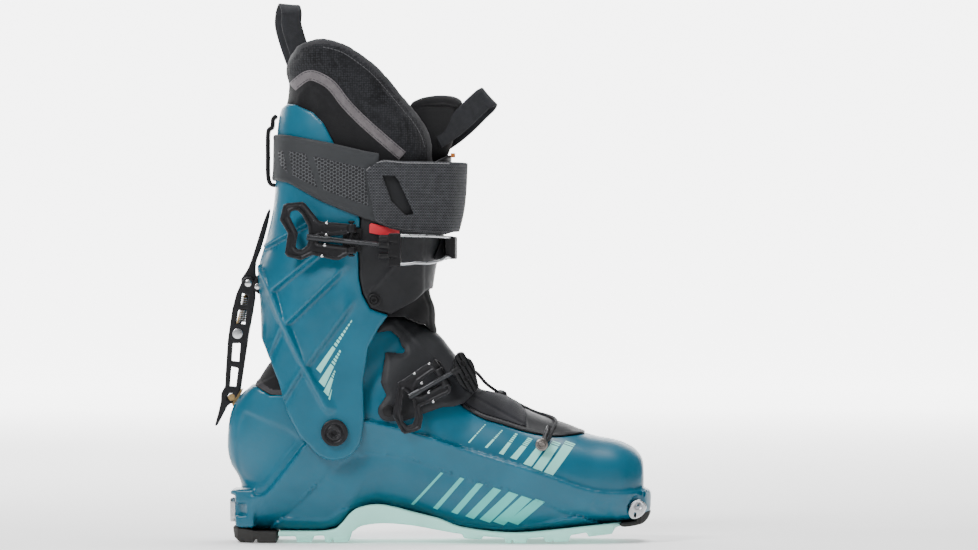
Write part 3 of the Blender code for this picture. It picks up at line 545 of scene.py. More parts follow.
def noise(tree, coordinate, scale, detail=2.0, rough=0.5):
    made = add(tree, "ShaderNodeTexNoise", Scale=scale, Detail=detail, Roughness=rough)
    tree.links.new(coordinate, made.inputs["Vector"])
    return made.outputs["Fac"]


def remap(tree, value, low, high, to_low=0.0, to_high=1.0):
    made = add(tree, "ShaderNodeMapRange")
    tree.links.new(value, made.inputs["Value"])
    for key, number in (("From Min", low), ("From Max", high), ("To Min", to_low),
                        ("To Max", to_high)):
        made.inputs[key].default_value = number
    return made.outputs["Result"]


def mixed(tree, factor, a, b):
    made = add(tree, "ShaderNodeMix", data_type="RGBA")
    tree.links.new(factor, made.inputs["Factor"])
    for slot, value in ((made.inputs[6], a), (made.inputs[7], b)):
        if isinstance(value, tuple):
            slot.default_value = (*value, 1)
        else:
            tree.links.new(value, slot)
    return made.outputs[2]


def bumped(tree, shader, height, distance):
    made = add(tree, "ShaderNodeBump", Strength=1.0, Distance=distance)
    tree.links.new(height, made.inputs["Height"])
    tree.links.new(made.outputs["Normal"], shader.inputs["Normal"])


def darker(color, k):
    return tuple(c * k for c in color)


def moulded(name, color, rough, grain=0.00003, grain_scale=2600, metallic=0.0, coat=0.0, worn=0.25,
            worn_color=None, shine=0.5):
    """Moulded plastic or rubber: faint mottle, fine grain, uneven sheen, rubbed edges."""
    mat, tree, shader = material(name)
    place = add(tree, "ShaderNodeTexCoord").outputs["Object"]
    broad = noise(tree, place, 28, 3)
    base = mixed(tree, remap(tree, broad, 0.3, 0.7), darker(color, 0.9), darker(color, 1.1))
    edge = add(tree, "ShaderNodeNewGeometry").outputs["Pointiness"]
    rub = math_node(tree, "MULTIPLY", remap(tree, edge, 0.515, 0.6),
                    remap(tree, noise(tree, place, 420, 4), 0.42, 0.62, 0, worn))
    base = mixed(tree, rub, base, worn_color or tuple(min(1, c * 1.6 + 0.03) for c in color))
    tree.links.new(base, shader.inputs["Base Color"])
    sheen = remap(tree, noise(tree, place, 160, 4, 0.65), 0.3, 0.7, rough - 0.05, rough + 0.07)
    tree.links.new(sheen, shader.inputs["Roughness"])
    shader.inputs["Metallic"].default_value = metallic
    shader.inputs["Specular IOR Level"].default_value = shine
    shader.inputs["Coat Weight"].default_value = coat
    shader.inputs["Coat Roughness"].default_value = 0.25
    bumped(tree, shader, noise(tree, place, grain_scale, 2), grain)
    return mat


def metal(name, color, rough, along=(1.0, 1.0, 0.08), scale=1500):
    """Brushed or turned metal with streaks and small dulled spots."""
    mat, tree, shader = material(name)
    place = add(tree, "ShaderNodeTexCoord").outputs["Object"]
    stretch = add(tree, "ShaderNodeMapping")
    stretch.inputs["Scale"].default_value = along
    tree.links.new(place, stretch.inputs["Vector"])
    streak = noise(tree, stretch.outputs["Vector"], scale, 3, 0.6)
    tree.links.new(mixed(tree, remap(tree, streak, 0.3, 0.7), darker(color, 0.85), color),
                   shader.inputs["Base Color"])
    tree.links.new(remap(tree, noise(tree, place, 350, 4), 0.3, 0.75, rough - 0.08, rough + 0.16),
                   shader.inputs["Roughness"])
    shader.inputs["Metallic"].default_value = 1.0
    bumped(tree, shader, streak, 0.00002)
    return mat


def lattice(tree, place, directions, pitch):
    """Sum of cosines along plane directions: rows, a square or a hexagonal lattice."""
    total = None
    for direction in directions:
        dot = add(tree, "ShaderNodeVectorMath", operation="DOT_PRODUCT")
        tree.links.new(place, dot.inputs[0])
        size = (direction[0] ** 2 + direction[1] ** 2) ** 0.5
        dot.inputs[1].default_value = tuple(2 * pi * v / size / pitch / MM for v in (*direction, 0))
        wave = math_node(tree, "COSINE", dot.outputs["Value"])
        total = wave if total is None else math_node(tree, "ADD", total, wave)
    return total


def woven(name, color, light, pitch=(1.3, 0.9), rough=0.75, depth=0.00012, sheen=0.05):
    """Webbing: crossed rows of yarn along and across the band, with uneven yarns."""
    mat, tree, shader = material(name)
    place = add(tree, "ShaderNodeUVMap").outputs["UV"]
    body = add(tree, "ShaderNodeTexCoord").outputs["Object"]
    run = lattice(tree, place, [(1, 0)], pitch[0])
    rise = lattice(tree, place, [(0, 1)], pitch[1])
    yarn = math_node(tree, "MULTIPLY", run, rise)
    height = math_node(tree, "ADD", math_node(tree, "MULTIPLY", yarn, 0.5),
                       math_node(tree, "MULTIPLY", rise, 0.25))
    shade = remap(tree, height, -0.6, 0.6)
    uneven = remap(tree, noise(tree, body, 240, 4, 0.6), 0.3, 0.7, 0.6, 1.15)
    base = mixed(tree, math_node(tree, "MULTIPLY", shade, uneven), color, light)
    tree.links.new(base, shader.inputs["Base Color"])
    shader.inputs["Roughness"].default_value = rough
    shader.inputs["Sheen Weight"].default_value = sheen
    shader.inputs["Sheen Roughness"].default_value = 0.5
    shader.inputs["Specular IOR Level"].default_value = 0.25
    bumped(tree, shader, height, depth)
    return mat


def knitted(name, color, light, scale=950, rough=0.9, depth=0.0002, sheen=0.35, random=0.35):
    """Knit or mesh cloth of small cells, in object space so that it fits any form."""
    mat, tree, shader = material(name)
    place = add(tree, "ShaderNodeTexCoord").outputs["Object"]
    cells = add(tree, "ShaderNodeTexVoronoi", Scale=scale, Randomness=random)
    tree.links.new(place, cells.inputs["Vector"])
    cell = cells.outputs["Distance"]
    fuzz = noise(tree, place, 2600, 3, 0.7)
    shade = math_node(tree, "MULTIPLY", remap(tree, cell, 0.1, 0.6),
                      remap(tree, noise(tree, place, 60, 4), 0.3, 0.7, 0.55, 1.0))
    tree.links.new(mixed(tree, shade, light, color), shader.inputs["Base Color"])
    shader.inputs["Roughness"].default_value = rough
    shader.inputs["Sheen Weight"].default_value = sheen
    shader.inputs["Sheen Roughness"].default_value = 0.6
    shader.inputs["Specular IOR Level"].default_value = 0.15
    height = math_node(tree, "SUBTRACT", math_node(tree, "MULTIPLY", fuzz, 0.35), cell)
    bumped(tree, shader, height, depth)
    return mat


def honeycomb(name, rib, hole, pitch=2.5, depth=0.0006):
    """Moulded honeycomb: raised ribs round dark cells."""
    mat, tree, shader = material(name)
    place = add(tree, "ShaderNodeUVMap").outputs["UV"]
    total = lattice(tree, place, [(1, 0), (0.5, 0.866), (-0.5, 0.866)], pitch * 0.866)
    cell = remap(tree, total, -1.1, 0.1)
    tree.links.new(mixed(tree, cell, rib, hole), shader.inputs["Base Color"])
    tree.links.new(remap(tree, total, -1, 1.5, 0.5, 0.85), shader.inputs["Roughness"])
    bumped(tree, shader, math_node(tree, "MULTIPLY", cell, -1.0), depth)
    return mat


TEAL = (0.003, 0.098, 0.160)
TEAL_SHELL = moulded("teal moulding", TEAL, 0.36, coat=0.08, shine=0.4)
MINT_RUBBER = moulded("mint rubber", (0.42, 0.88, 0.76), 0.6, 0.00006, 900,
                      worn_color=(0.4, 0.62, 0.56))
MINT_PRINT = moulded("mint print", (0.27, 0.70, 0.62), 0.5, 0.00002, 3000, worn=0.0)
DEEP_MINT_PRINT = moulded("deep mint print", (0.09, 0.50, 0.46), 0.5, 0.00002, 3000, worn=0.0)
BLACK_PLASTIC = moulded("black moulding", (0.007, 0.007, 0.008), 0.42, 0.00003, shine=0.24)
SOFT_BLACK = moulded("overlap moulding", (0.013, 0.0135, 0.0155), 0.5, 0.00005, 1500, shine=0.24)
GREY_FLAP = moulded("flap moulding", (0.022, 0.023, 0.026), 0.52, 0.00006, 1300, shine=0.24)
COLLAR_GREY = moulded("collar trim", (0.040, 0.038, 0.041), 0.7, 0.00008, 1100, shine=0.24)
DARK_RUBBER = moulded("dark rubber", (0.032, 0.031, 0.030), 0.82, 0.0001, 700, shine=0.24)
STRAP_GREY = moulded("strap moulding", (0.030, 0.032, 0.035), 0.58, 0.00006, 1200, shine=0.24)
STEEL = metal("steel", (0.66, 0.67, 0.69), 0.3)
POLISHED = metal("polished pin", (0.75, 0.75, 0.76), 0.2)
BRASS = metal("brass", (0.55, 0.38, 0.18), 0.38)
GUNMETAL = metal("gunmetal", (0.22, 0.20, 0.185), 0.36)
BUCKLE = moulded("anodised buckle", (0.016, 0.016, 0.018), 0.4, 0.00003, 2200, metallic=0.65,
                 worn=0.5,
                 worn_color=(0.3, 0.3, 0.31))
CUFF_ALLOY = moulded("grey anodised rod", (0.04, 0.041, 0.044), 0.3, 0.00002, 2500, metallic=0.8)
LINER_MESH = knitted("liner mesh", (0.002, 0.0022, 0.003), (0.024, 0.025, 0.029), 620, 0.95,
                     0.0003, 0.1)
LINER_SMOOTH = knitted("liner suede", (0.006, 0.006, 0.007), (0.012, 0.012, 0.0135), 2600, 0.95,
                       0.00006, 0.12, 1.0)
LINER_BINDING = knitted("liner binding", (0.018, 0.018, 0.020), (0.035, 0.035, 0.039), 1500, 0.8,
                        0.00012, 0.1, 0.6)
GAITER_CLOTH = knitted("gaiter cloth", (0.010, 0.010, 0.013), (0.018, 0.019, 0.024), 1700, 0.8,
                       0.00012, 0.1, 0.5)
WEBBING = woven("pull loop webbing", (0.006, 0.006, 0.008), (0.035, 0.037, 0.042), (1.1, 0.7))
STRAP_WEAVE = woven("power strap weave", (0.007, 0.0075, 0.009), (0.075, 0.078, 0.086), (1.9, 2.1),
                    0.8, 0.00035)
STRAP_EDGE = woven("strap edge thread", (0.05, 0.052, 0.056), (0.20, 0.20, 0.21), (1.4, 1.0))
RIBBON_TAPE = woven("grey ribbon", (0.07, 0.063, 0.068), (0.23, 0.21, 0.22), (0.9, 0.8), 0.7,
                    0.0002)
THREAD = woven("dark thread", (0.02, 0.02, 0.022), (0.07, 0.07, 0.075), (0.4, 0.3))
COMB = honeycomb("strap honeycomb", (0.062, 0.066, 0.072), (0.006, 0.006, 0.008))
RED_TAG = moulded("red tag", (0.60, 0.02, 0.035), 0.5, 0.00005, 1800, worn=0.1)
ORANGE = moulded("orange tab", (0.75, 0.22, 0.03), 0.6, 0.00005, 1800, worn=0.1)
CABLE = woven("cable sheath", (0.006, 0.006, 0.007), (0.04, 0.04, 0.044), (0.9, 0.5))


# ---------------------------------------------------------------- foot shell
RIDGE = [(-152, 33), (-126, 33), (-119, 34.5), (-112, 42), (-101, 56), (-90.2, 69.8), (-78, 82),
         (-66, 87.5), (-49.4, 87), (-9.8, 77.1), (29.5, 64.3), (73, 50.9), (105.2, 39.2),
         (124.6, 36.1), (148.5, 37)]
PANEL_TOP = [(-105.9, 18.6), (-89.7, 33.9), (-74.4, 48.8), (-61.4, 59.8), (-50.8, 62.9),
             (-35.2, 62.9), (-14, 58.7), (7.9, 50.9), (29.5, 43.5), (51.1, 38.2), (73, 30.4),
             (94.2, 21.9), (102, 19.1)]
PANEL_BOTTOM = [(-105.9, 17), (-89, 16.6), (-74.4, 16.5), (-65.6, 22.9), (-52.9, 26.2),
                (-35.2, 27.3), (-14, 21.9), (7.9, 15.6), (29.5, 12), (51.1, 11), (73, 13.4),
                (94.2, 17.7)]
HEEL_PANEL = [(-134.2, 89.9), (-130.7, 91.6), (-118.2, 86.3), (-105.2, 80.9), (-96.3, 75),
              (-96.3, 70.9), (-108.3, 55.9), (-117.2, 44.4), (-122, 41.0), (-130.8, 42),
              (-137.9, 53.3), (-138.5, 75.7)]
TOE_SCOOP = [(108.5, 25.5), (112, 30.5), (124.5, 29.5), (123, 19.5), (114, 20.5)]
SHELL_TOP_LINE = [(-170, 130), (-127.4, 111.7), (-115, 104), (-100, 104), (-80, 117), (-62, 138),
                  (-46, 152), (-34, 155), (-22, 155)]
GAITER_EDGE = [(20, 95.8), (32.7, 88), (49, 83), (65, 78.1), (84.6, 74.9), (107, 76.6)]


def shell_relief(x, z):
    """Height of the side's moulded ridge, band, panel and heel boss over the plain form."""
    below_ridge = signed_line(x, z, spline(RIDGE, 3))
    below_panel = signed_line(x, z, PANEL_TOP)
    panel = polygon(x, z, list(spline(PANEL_TOP, 3)) + list(spline(PANEL_BOTTOM, 3))[::-1])
    bottom = line_distance(x, z, PANEL_BOTTOM)
    band_width = np.maximum(below_ridge, 0) + np.maximum(-below_panel, 0) + 0.01
    down = ramp(below_ridge / band_width, 0, 1)
    proud = 4.4 - 2.6 * sstep(x, 50, 125) - 1.6 * sstep(-x, 95, 125)
    band = proud - (proud + 1.6) * down ** 1.1
    outside = np.where(below_panel < 0, band, 1.0)
    deep = ramp(below_panel / (np.maximum(below_panel, 0) + bottom + 0.01), 0, 1)
    floor = -2.2 + 2.0 * deep ** 2
    low = floor + (outside - floor) * sstep(panel, -0.9, 0.5)
    low = low - 1.3 * sstep(-polygon(x, z, TOE_SCOOP), -1.5, 3)
    boss = polygon(x, z, spline(HEEL_PANEL, 3, True))
    high = -0.9 * sstep(-boss, -0.8, 1.2) - 0.5 * np.exp(-np.abs(below_ridge) / 4)
    return high + (low - high) * sstep(below_ridge, -0.7, 0.7)


def arc(center, radius, first, last, count):
    turns = np.radians(np.linspace(first, last, count))
    return [(center[0] + radius * cos(t), center[1] + radius * sin(t)) for t in turns]


def lower_shell(g):
    x, z = g.xz
    form, heel = shell_form(g)
    outer = form - shell_relief(x, z)[:, None, :] * sstep(np.abs(g.y - TOE_SHIFT / 2), 10, 24)
    outer = smax(outer, g.x - TOE_END, 4)
    ledge_side = g.side([(139, 37.5), (149, 38), (153.2, 36.4), (154.4, 33.5), (153.6, 24),
                         (152.5, 21.6), (139, 20)])
    ledge_plan = g.plan([(132, -28), (142, -28), (149.4, -23), (152.6, -14), (154.2, -4),
                         (154.4, 4), (154.2, 12), (152.6, 23), (149.4, 31.5), (142, 36.5),
                         (132, 36.5)])
    outer = smin(outer, smax(ledge_side, ledge_plan, 2.5), 1.6)
    block_side = g.side([(-139.7, 12), (-139.7, 33), (-143.4, 34), (-143.6, 36), (-141, 37.3),
                         (-126, 37.5), (-126, 10.5), (-136, 10.8)])
    block_plan = g.plan([(-144, -20), (-139, -27), (-120, -32), (-120, 32), (-139, 27), (-144, 20)])
    block = smax(block_side, block_plan, 2.0)
    slot = g.side([(-141, 19.4), (-131.4, 19.4), (-131.4, 27.6), (-141, 27.6)])
    block = smax(block, -smax(slot, 17.5 - np.abs(g.y), 0.5), 0.6)
    outer = smin(outer, block, 2.0)
    inner = form + SHELL_WALL + 4.0 * heel
    body = smax(outer, -inner, 0.8)
    keep = SHELL_TOP_LINE + [(30, 155), (180, 155), (180, 2), (-170, 2)]
    body = smax(body, g.side(keep), 1.2)
    hole = list(spline(GAITER_EDGE, 4)) + [(111, 77.4), (112, 90), (70, 140), (34, 140), (17, 118),
                                           (17, 97.8)]
    body = smax(body, -g.side(hole), 0.8)
    radial = np.hypot(x - PIVOT[0], z - PIVOT[1])
    turn = np.degrees(np.arctan2(z - PIVOT[1], x - PIVOT[0])) % 360
    channel_ends = np.maximum((140 - turn) * 1.2, (turn - 196) * 1.2)
    channel = np.maximum(71.5 - radial, channel_ends)[:, None, :]
    body = smax(body, -smax(channel, np.abs(g.y) - 12, 1.0), 1.0)
    pocket = g.side([(141, 34), (151, 27), (146, 20), (138, 19), (135.4, 26)])
    return smax(body, -smax(pocket, TOE_HALF - np.abs(g.y - TOE_SHIFT), 0.5), 0.7)


shell = solid("foot_shell", (-148, -58, 4), (158, 62, 160), 1.3, lower_shell, TEAL_SHELL, "lower",
              ["lower_shell"])
shell_tree = tree_of(shell)


# ---------------------------------------------------------------- sole and fittings
SOLE_TOP = [(-109.5, 8.4), (-74.4, 8.6), (-65.6, 13), (-59.3, 20.4), (-52.9, 24.8), (-41.9, 27),
            (-31, 26), (-14, 21.6), (3.7, 17.2), (20.6, 11), (51.1, 7.6), (73, 8.6), (105.2, 12),
            (134, 14.6)]
SOLE_BASE = [(-109.5, 4.6), (-76, 5.4), (-58.2, 7.8), (-50.8, 12), (-35.2, 13.9), (-14, 12.2),
             (3, 9.2), (20.6, 6.4), (51.1, 4.0), (73, 4.4), (96, 6.2), (105.2, 7.6), (130, 11.4),
             (134, 12.6)]
SOLE_LUGS = [
    [(-97.5, 8), (-96, 0.6), (-85, 0.6), (-83.6, 8)],
    [(-77.6, 8), (-76, 0.6), (-60.5, 0.6), (-58.6, 3), (-56.5, 12)],
    [(19, 9), (21, 3.6), (33.4, 2.8), (35.5, 8)],
    [(48.4, 7), (50.4, 0.5), (64.6, 0.4), (66.8, 7)],
    [(76.2, 7), (78, 1.3), (94.2, 1.6), (96.6, 8)],
    [(106.4, 9), (108.4, 4.9), (125, 6.6), (128, 12)],
]
SOLE_PLAN = [(133, -20), (126, -36), (110, -42), (88, -45.8), (68, -46.4), (45, -43.4), (15, -37),
             (-20, -33), (-60, -34), (-109.5, -34.5), (-109.5, 34.5), (-60, 34), (-20, 34),
             (15, 40), (45, 46.4), (68, 50.2), (88, 50.6), (110, 48), (126, 42), (133, 28)]


def tread_sole(g):
    x, z = g.xz
    base = g.side(list(spline(SOLE_TOP, 3)) + list(spline(SOLE_BASE, 3))[::-1])
    lugs = None
    for lug in SOLE_LUGS:
        one = polygon(x, z, lug)
        lugs = one if lugs is None else np.minimum(lugs, one)
    across = np.abs(g.y - 1.5)
    grooves = np.minimum(np.abs(across - 11) - 1.6, np.abs(across - 26) - 1.6)
    grooves = np.maximum(grooves, across - 33)
    lugs = smax(lugs[:, None, :], -grooves, 0.8)
    sipe = np.abs(np.mod(g.x + 400, 14.0) - 7.0) - 0.5
    lugs = smax(lugs, -np.maximum(sipe, g.z - 2.6), 0.3)
    body = smin(base, lugs, 0.8)
    plan = g.plan(SOLE_PLAN)
    return smax(body, plan + 0.02 * (g.z - 8) ** 2 * (g.z < 8), 1.6)


solid("tread_sole_rubber", (-112, -50, -1), (138, 54, 30), 0.9, tread_sole, MINT_RUBBER, "lower",
      ["tread_sole"])


def heel_pad(g):
    side = g.side([(-109.9, 0.2), (-109.9, 8), (-125.7, 8.4), (-140, 11.2), (-142, 10.6),
                   (-140.6, 3.2), (-135.9, 0.2)])
    plan = g.plan([(-109.8, -34), (-128, -32), (-138, -23), (-142, -9), (-142, 9), (-138, 23),
                   (-128, 32), (-109.8, 34)])
    body = smax(side, plan, 1.2)
    notch = np.maximum(np.abs(g.x + 125.2) - 1.2, g.z - 2.6)
    rows = np.maximum(np.abs(np.mod(g.y + 200, 12) - 6) - 0.8, np.maximum(g.z - 1.8, g.x + 113))
    return smax(smax(body, -notch, 0.6), -rows, 0.4)


solid("heel_tread", (-145, -38, -1), (-107, 38, 14), 0.7, heel_pad, DARK_RUBBER, "lower",
      ["heel_pad"])


def toe_bumper(g):
    side = g.side(spline([(130.5, 12.4), (134.3, 11.0), (145.8, 12.9), (150.1, 15.8), (153.1, 19.4),
                          (153.6, 22.4), (143, 22.4), (142, 15.6), (132, 14.2)], 3, True))
    plan = g.plan([(128, -28), (146, -24), (151.5, -14), (153.7, 0), (153.7, 8), (151.5, 22),
                   (146, 32), (128, 36)])
    return smax(side, plan, 1.5)


solid("toe_lip_rubber", (126, -34, 9), (156, 42, 25), 0.6, toe_bumper, DARK_RUBBER, "lower",
      ["toe_bumper"])

for tag, side in (("outer", -1), ("inner", 1)):
    middle = TOE_SHIFT + side * (TOE_HALF + 1.5)

    def toe_fitting(g):
        outline = spline([(143.8, 30.6), (147.6, 28.4), (149.4, 25.4), (147, 20.4), (143.2, 17.6),
                          (138.8, 17.2), (136.6, 21.4), (138.6, 28)], 4, True)
        plate = slab(g.side(outline), g.y, middle, 1.5, 0.7)
        depth = np.maximum(0, (middle + side * 1.6 - g.y) * side)
        cone = np.hypot(g.x - 143.3, g.z - 26.4) - 2.9 + depth * 0.8
        leg = np.maximum(np.abs(g.x - 141.2) - 0.7, np.abs(g.z - 20.0) - 1.6)
        plate = smax(plate, -leg, 0.3)
        return smax(plate, -cone, 0.5)

    solid(f"toe_socket_{tag}", (134, middle - 3, 14), (152, middle + 3, 34), 0.3, toe_fitting,
          STEEL, "lower",
          [f"toe_fitting_{tag}"])


def heel_fitting(g):
    side = g.side([(-139.4, 14.1), (-139.4, 31.2), (-143.0, 31.2), (-143.6, 30), (-143.6, 15.2),
                   (-143.0, 14.1)])
    front = polygon(g.y[0, :, :], g.z[0, :, :], [(-15, 17), (-12, 14.1), (12, 14.1), (15, 17),
                                                 (15, 28), (12, 31.2), (-12, 31.2), (-15, 28)])
    body = smax(side, front[None, :, :], 0.6)
    slots = np.maximum(np.abs(np.abs(g.y) - 6) - 2.2, np.abs(g.z - 23) - 5.2)
    screws = np.hypot(np.abs(g.y) - 11.5, g.z - 22.6) - 1.5
    return smax(smax(body, -np.maximum(slots, g.x + 140.6), 0.4), -np.maximum(screws, g.x + 142.4),
                0.3)


solid("heel_binding_plate", (-145, -17, 12), (-137, 17, 33), 0.4, heel_fitting, STEEL, "lower",
      ["heel_fitting"])


def rear_collar(g):
    x, z = g.xz
    form, _ = shell_form(g)
    band = arc(PIVOT, 70.6, 147, 132, 5) + [(-105, 118), (-96, 108), (-104, 104.0), (-114.6, 104.2),
                                            (-126, 111)]
    inner_edge = polygon(x, z, spline([(-118, 131), (-123.5, 119), (-121, 111), (-115, 107.5),
                                       (-109, 106.8), (-104, 109), (-100, 116),
                                       (-106, 128)], 4, True))
    swell = 1.0 * sstep(inner_edge, -0.5, 2.5)
    layer = slab(g.side(spline(band, 2, True)), form + 2.6 - 0.5 * swell[:, None, :], 0, 1.2, 0.8)
    return layer


collar = solid("rear_collar_trim", (-132, -42, 100), (-92, 42, 144), 0.8, rear_collar, COLLAR_GREY,
               "lower", ["rear_collar"])

# ---------------------------------------------------------------- instep flap, gaiter, cable
FLAP_OUTLINE = [(-41, 147), (-37, 156), (-30, 160), (-23.9, 160.4), (-16.1, 158), (-9.1, 155),
                (8, 152), (40, 118), (31.5, 108.3), (24, 100.5), (20.4, 97.6), (14, 95.6),
                (5.7, 95.1), (-6.6, 90.7), (-20, 85.6), *arc((-31.7, 92.9), 7.8, 285, 130, 8),
                (-33.6, 103.7), (-37.6, 112.4), (-36.4, 120), (-34, 134.2), (-22.0, 133.4),
                (-20.6, 134.6), (-21.0, 136.4), (-22.6, 137), (-24.8, 143.7), (-30.3, 148.6)]


def instep_flap(g):
    x, z = g.xz
    form, _ = shell_form(g)
    outline = polygon(x, z, FLAP_OUTLINE)
    thin = 1.5 * (1 - sstep(-outline, 0, 4.5))
    rib = 0.7 * np.exp(-(signed_line(x, z, [(-20, 150), (26, 104)]) / 1.6) ** 2)
    outer = form - 3.2 + thin[:, None, :] - rib[:, None, :]
    return smax(smax(outer, 0.6 - form, 0.5), outline[:, None, :], 0.9)


solid("instep_flap_moulding", (-46, -46, 80), (46, 46, 166), 0.8, instep_flap, GREY_FLAP, "lower",
      ["instep_flap"])


def rivet(name, place, radius, side, mat, body, replaced, dome=1.2, bore=0.0):
    """A domed rivet head standing along Y on one side."""
    x, y, z = place

    def build(g):
        radial = np.hypot(g.x - x, g.z - z)
        out = (g.y - y) * side
        top = out - dome + 0.5 * (radial / radius) ** 2 * dome
        head = np.maximum(radial - radius, np.maximum(top, -2.5 - out))
        if bore:
            socket = hexagon(g.x - x, g.z - z) - bore
            head = smax(head, -np.maximum(socket, dome - 1.6 - out), 0.15)
            groove = np.abs(radial - radius * 0.62) - 0.25 + np.maximum(0, dome - 0.9 - out)
            head = smax(head, -groove, 0.15)
        return head

    pad = radius + 1
    solid(name, (x - pad, y - 4, z - pad), (x + pad, y + 4, z + pad), 0.25, build, mat, body,
          replaced)


def rivet_pair(stem, outer, place, radius, mat, body, replaced=(), dome=1.2, bore=0.0):
    """The same rivet on the outer side, which may stand for a CAD node, and on the inner."""
    x, y, z = place
    rivet(f"{stem}_{outer}", (x, -y, z), radius, -1, mat, body, replaced, dome, bore)
    rivet(f"{stem}_inner", (x, y, z), radius, 1, mat, body, [], dome, bore)


rivet_pair("flap_rivet", "head", (-31.7, 41.4, 92.9), 4.3, BLACK_PLASTIC, "lower", ["flap_rivet"],
           1.3)


def form_skin(low_inset, high_inset, outline, edge, wave=None):
    """Field of a layer of the shell's form between two insets, inside a side outline."""
    def build(g):
        form, _ = shell_form(g)
        if wave is not None:
            form = form - wave(g)
        area = g.side(outline)
        return smax(smax(form + low_inset, -high_inset - form, edge), area, edge)
    return build


def gaiter_wave(g):
    fold = 0.9 * np.sin(g.x * 0.42 + 0.16 * np.abs(g.y)) * np.exp(-((g.x - 52) / 13) ** 2)
    puff = 2.0 * np.exp(-((g.x - 56) / 7) ** 2 - (g.y / 26) ** 2)
    puff = puff - 0.8 * np.exp(-((g.x - 63.5) / 2.2) ** 2)
    crease = -0.8 * np.exp(-((g.z - 96 + 0.55 * (g.x - 40)) / 1.3) ** 2)
    return fold * 0.5 + puff + crease


gaiter_line = list(spline(GAITER_EDGE, 3))
frame_top = [(x, z + 3.4) for x, z in gaiter_line]
gaiter_area = [(x, z) for x, z in frame_top if x < 66.5] + [(67.5, 84), (66, 110), (40, 130),
        (25, 118), (17, 104)]
gaiter = solid("gaiter_cloth", (14, -50, 74), (72, 54, 118), 0.8,
               form_skin(-0.6, 1.8, gaiter_area, 0.6, gaiter_wave),
      GAITER_CLOTH, "lower", ["gaiter"])
flap_area = [(64.2, 78.2)] + [(x, z + 0.6) for x, z in gaiter_line if x > 64] + [(108.5, 79),
        (100, 90), (64.2, 105)]
toe_flap = solid("toe_flap_rubber", (60, -50, 72), (112, 54, 100), 0.8,
                 form_skin(-1.0, 1.2, flap_area, 0.8), SOFT_BLACK, "lower",
      ["toe_flap"])
frame_area = [(x, z + 0.3) for x, z in gaiter_line] + frame_top[::-1]
solid("gaiter_rim", (16, -56, 70), (112, 60, 104), 0.8, form_skin(-1.2, 2.2, frame_area, 0.9),
      SOFT_BLACK, "lower",
      ["gaiter_frame"])

covers = [shell_tree, *map(tree_of, (gaiter, toe_flap))]


def on_top(x, y, lift):
    """The point a little above the uppermost of the forefoot's covers."""
    hits = [tree.ray_cast(Vector((x, y, 160)), Vector((0, 0, -1)))[0] for tree in covers]
    return (x, y, max(hit.z for hit in hits if hit) + lift)


CABLE_PLAN = [(80.2, -41), (83.6, -32), (86, -20), (85, -8), (80, 4), (72, 13), (61, 17), (51, 14),
              (44, 7)]
cable_route = [(75.3, -49.6, 69.5), (77.6, -46.8, 74.2),
               *(on_top(x, y, 1.2) for x, y in CABLE_PLAN), (36.5, -8, 112), (31.5, -19, 118.0),
               (28.5, -26, 120.4)]
sweep("instep_cable_sheath", spline(cable_route, 6), round_section(1.15, 12), CABLE, "lower",
      stands_for=["instep_cable"])
sweep("cable_ferrule", [(75.6, -49.8, 70.2), (77.4, -47.6, 74.0), (79.2, -43.6, 78.4),
                        (80.6, -40.4, 81.4)],
      round_section(1.9, 14), BUCKLE, "lower")
rivet("toe_screw_head", (75.3, -50.6, 69.6), 4.4, -1, GUNMETAL, "lower", ["cable_screw"], 2.4, 1.6)
guide_place = on_top(47, 11, 0)


def cable_guide(g):
    """A low saddle that holds the cable on the cloth."""
    saddle = np.sqrt(((g.x - guide_place[0]) / 5.0) ** 2 + ((g.y - guide_place[1]) / 5.0) ** 2
                     + ((g.z - guide_place[2]) / 3.4) ** 2)
    return (saddle - 1) * 3.4


solid("cable_guide_block", (39, 3, 90), (55, 19, 114), 0.4, cable_guide, BLACK_PLASTIC, "lower",
      ["cable_guide"])


# ---------------------------------------------------------------- cuff
CUFF_OUTLINE = [
    (-107.5, 305.5), (-110.7, 299), (-112.5, 287), (-112.5, 248), (-114.8, 232), (-119.8, 211.4),
    (-125.2, 196.2), (-125, 187.4), (-124, 165), (-122, 144.3), (-118, 135.8), (-109, 113.8),
    (-102.4, 91.2), (-93.9, 75), *arc(PIVOT, 19.5, 218, 345, 13), (-48.7, 88.4), (-49.4, 113.8),
    (-45.8, 137.2), (-38.3, 151.3), (-31.8, 160), (-44.4, 164.3), (-50.1, 174.7), (-52.5, 186),
    (-53, 207.9), (-51.5, 226.3), (-58, 250), (-69.4, 279.3), (-77.3, 294.5), (-84.7, 301.9),
    (-97.4, 307.8), (-103, 308.4)]
OVERLAP_OUTLINE = [
    (-50.9, 226.3), (-52.3, 207.9), (-51.8, 186), (-49.5, 175), (-43.9, 165), (-30.4, 160.6),
    (-21.1, 165.8), (-12.6, 170.4), (-5.2, 177.5), (3, 179), (8, 200), (18, 250), (18, 262),
    (-25, 262), (-61, 261)]
SPINE_RIB = [(-126, 199), (-123.6, 193), (-115.8, 176.8), (-105.6, 153.2), (-90.8, 124.0),
             (-80, 104), (-71.0, 87)]
CROSS_RIBS = [[(-118.1, 209.6), (-102.4, 217.9)], [(-115.8, 176.8), (-85.3, 201.3)],
              [(-105.6, 153.2), (-63.1, 193.9)], [(-90.8, 124.6), (-52, 176.3)]]
SPURS = [[(-114.9, 133.8), (-107.5, 150.4)], [(-102.4, 105.2), (-92.7, 120.9)]]
RIB_HIGH, RIB_DEEP, RIB_FALL = 2.5, 1.9, 3.6


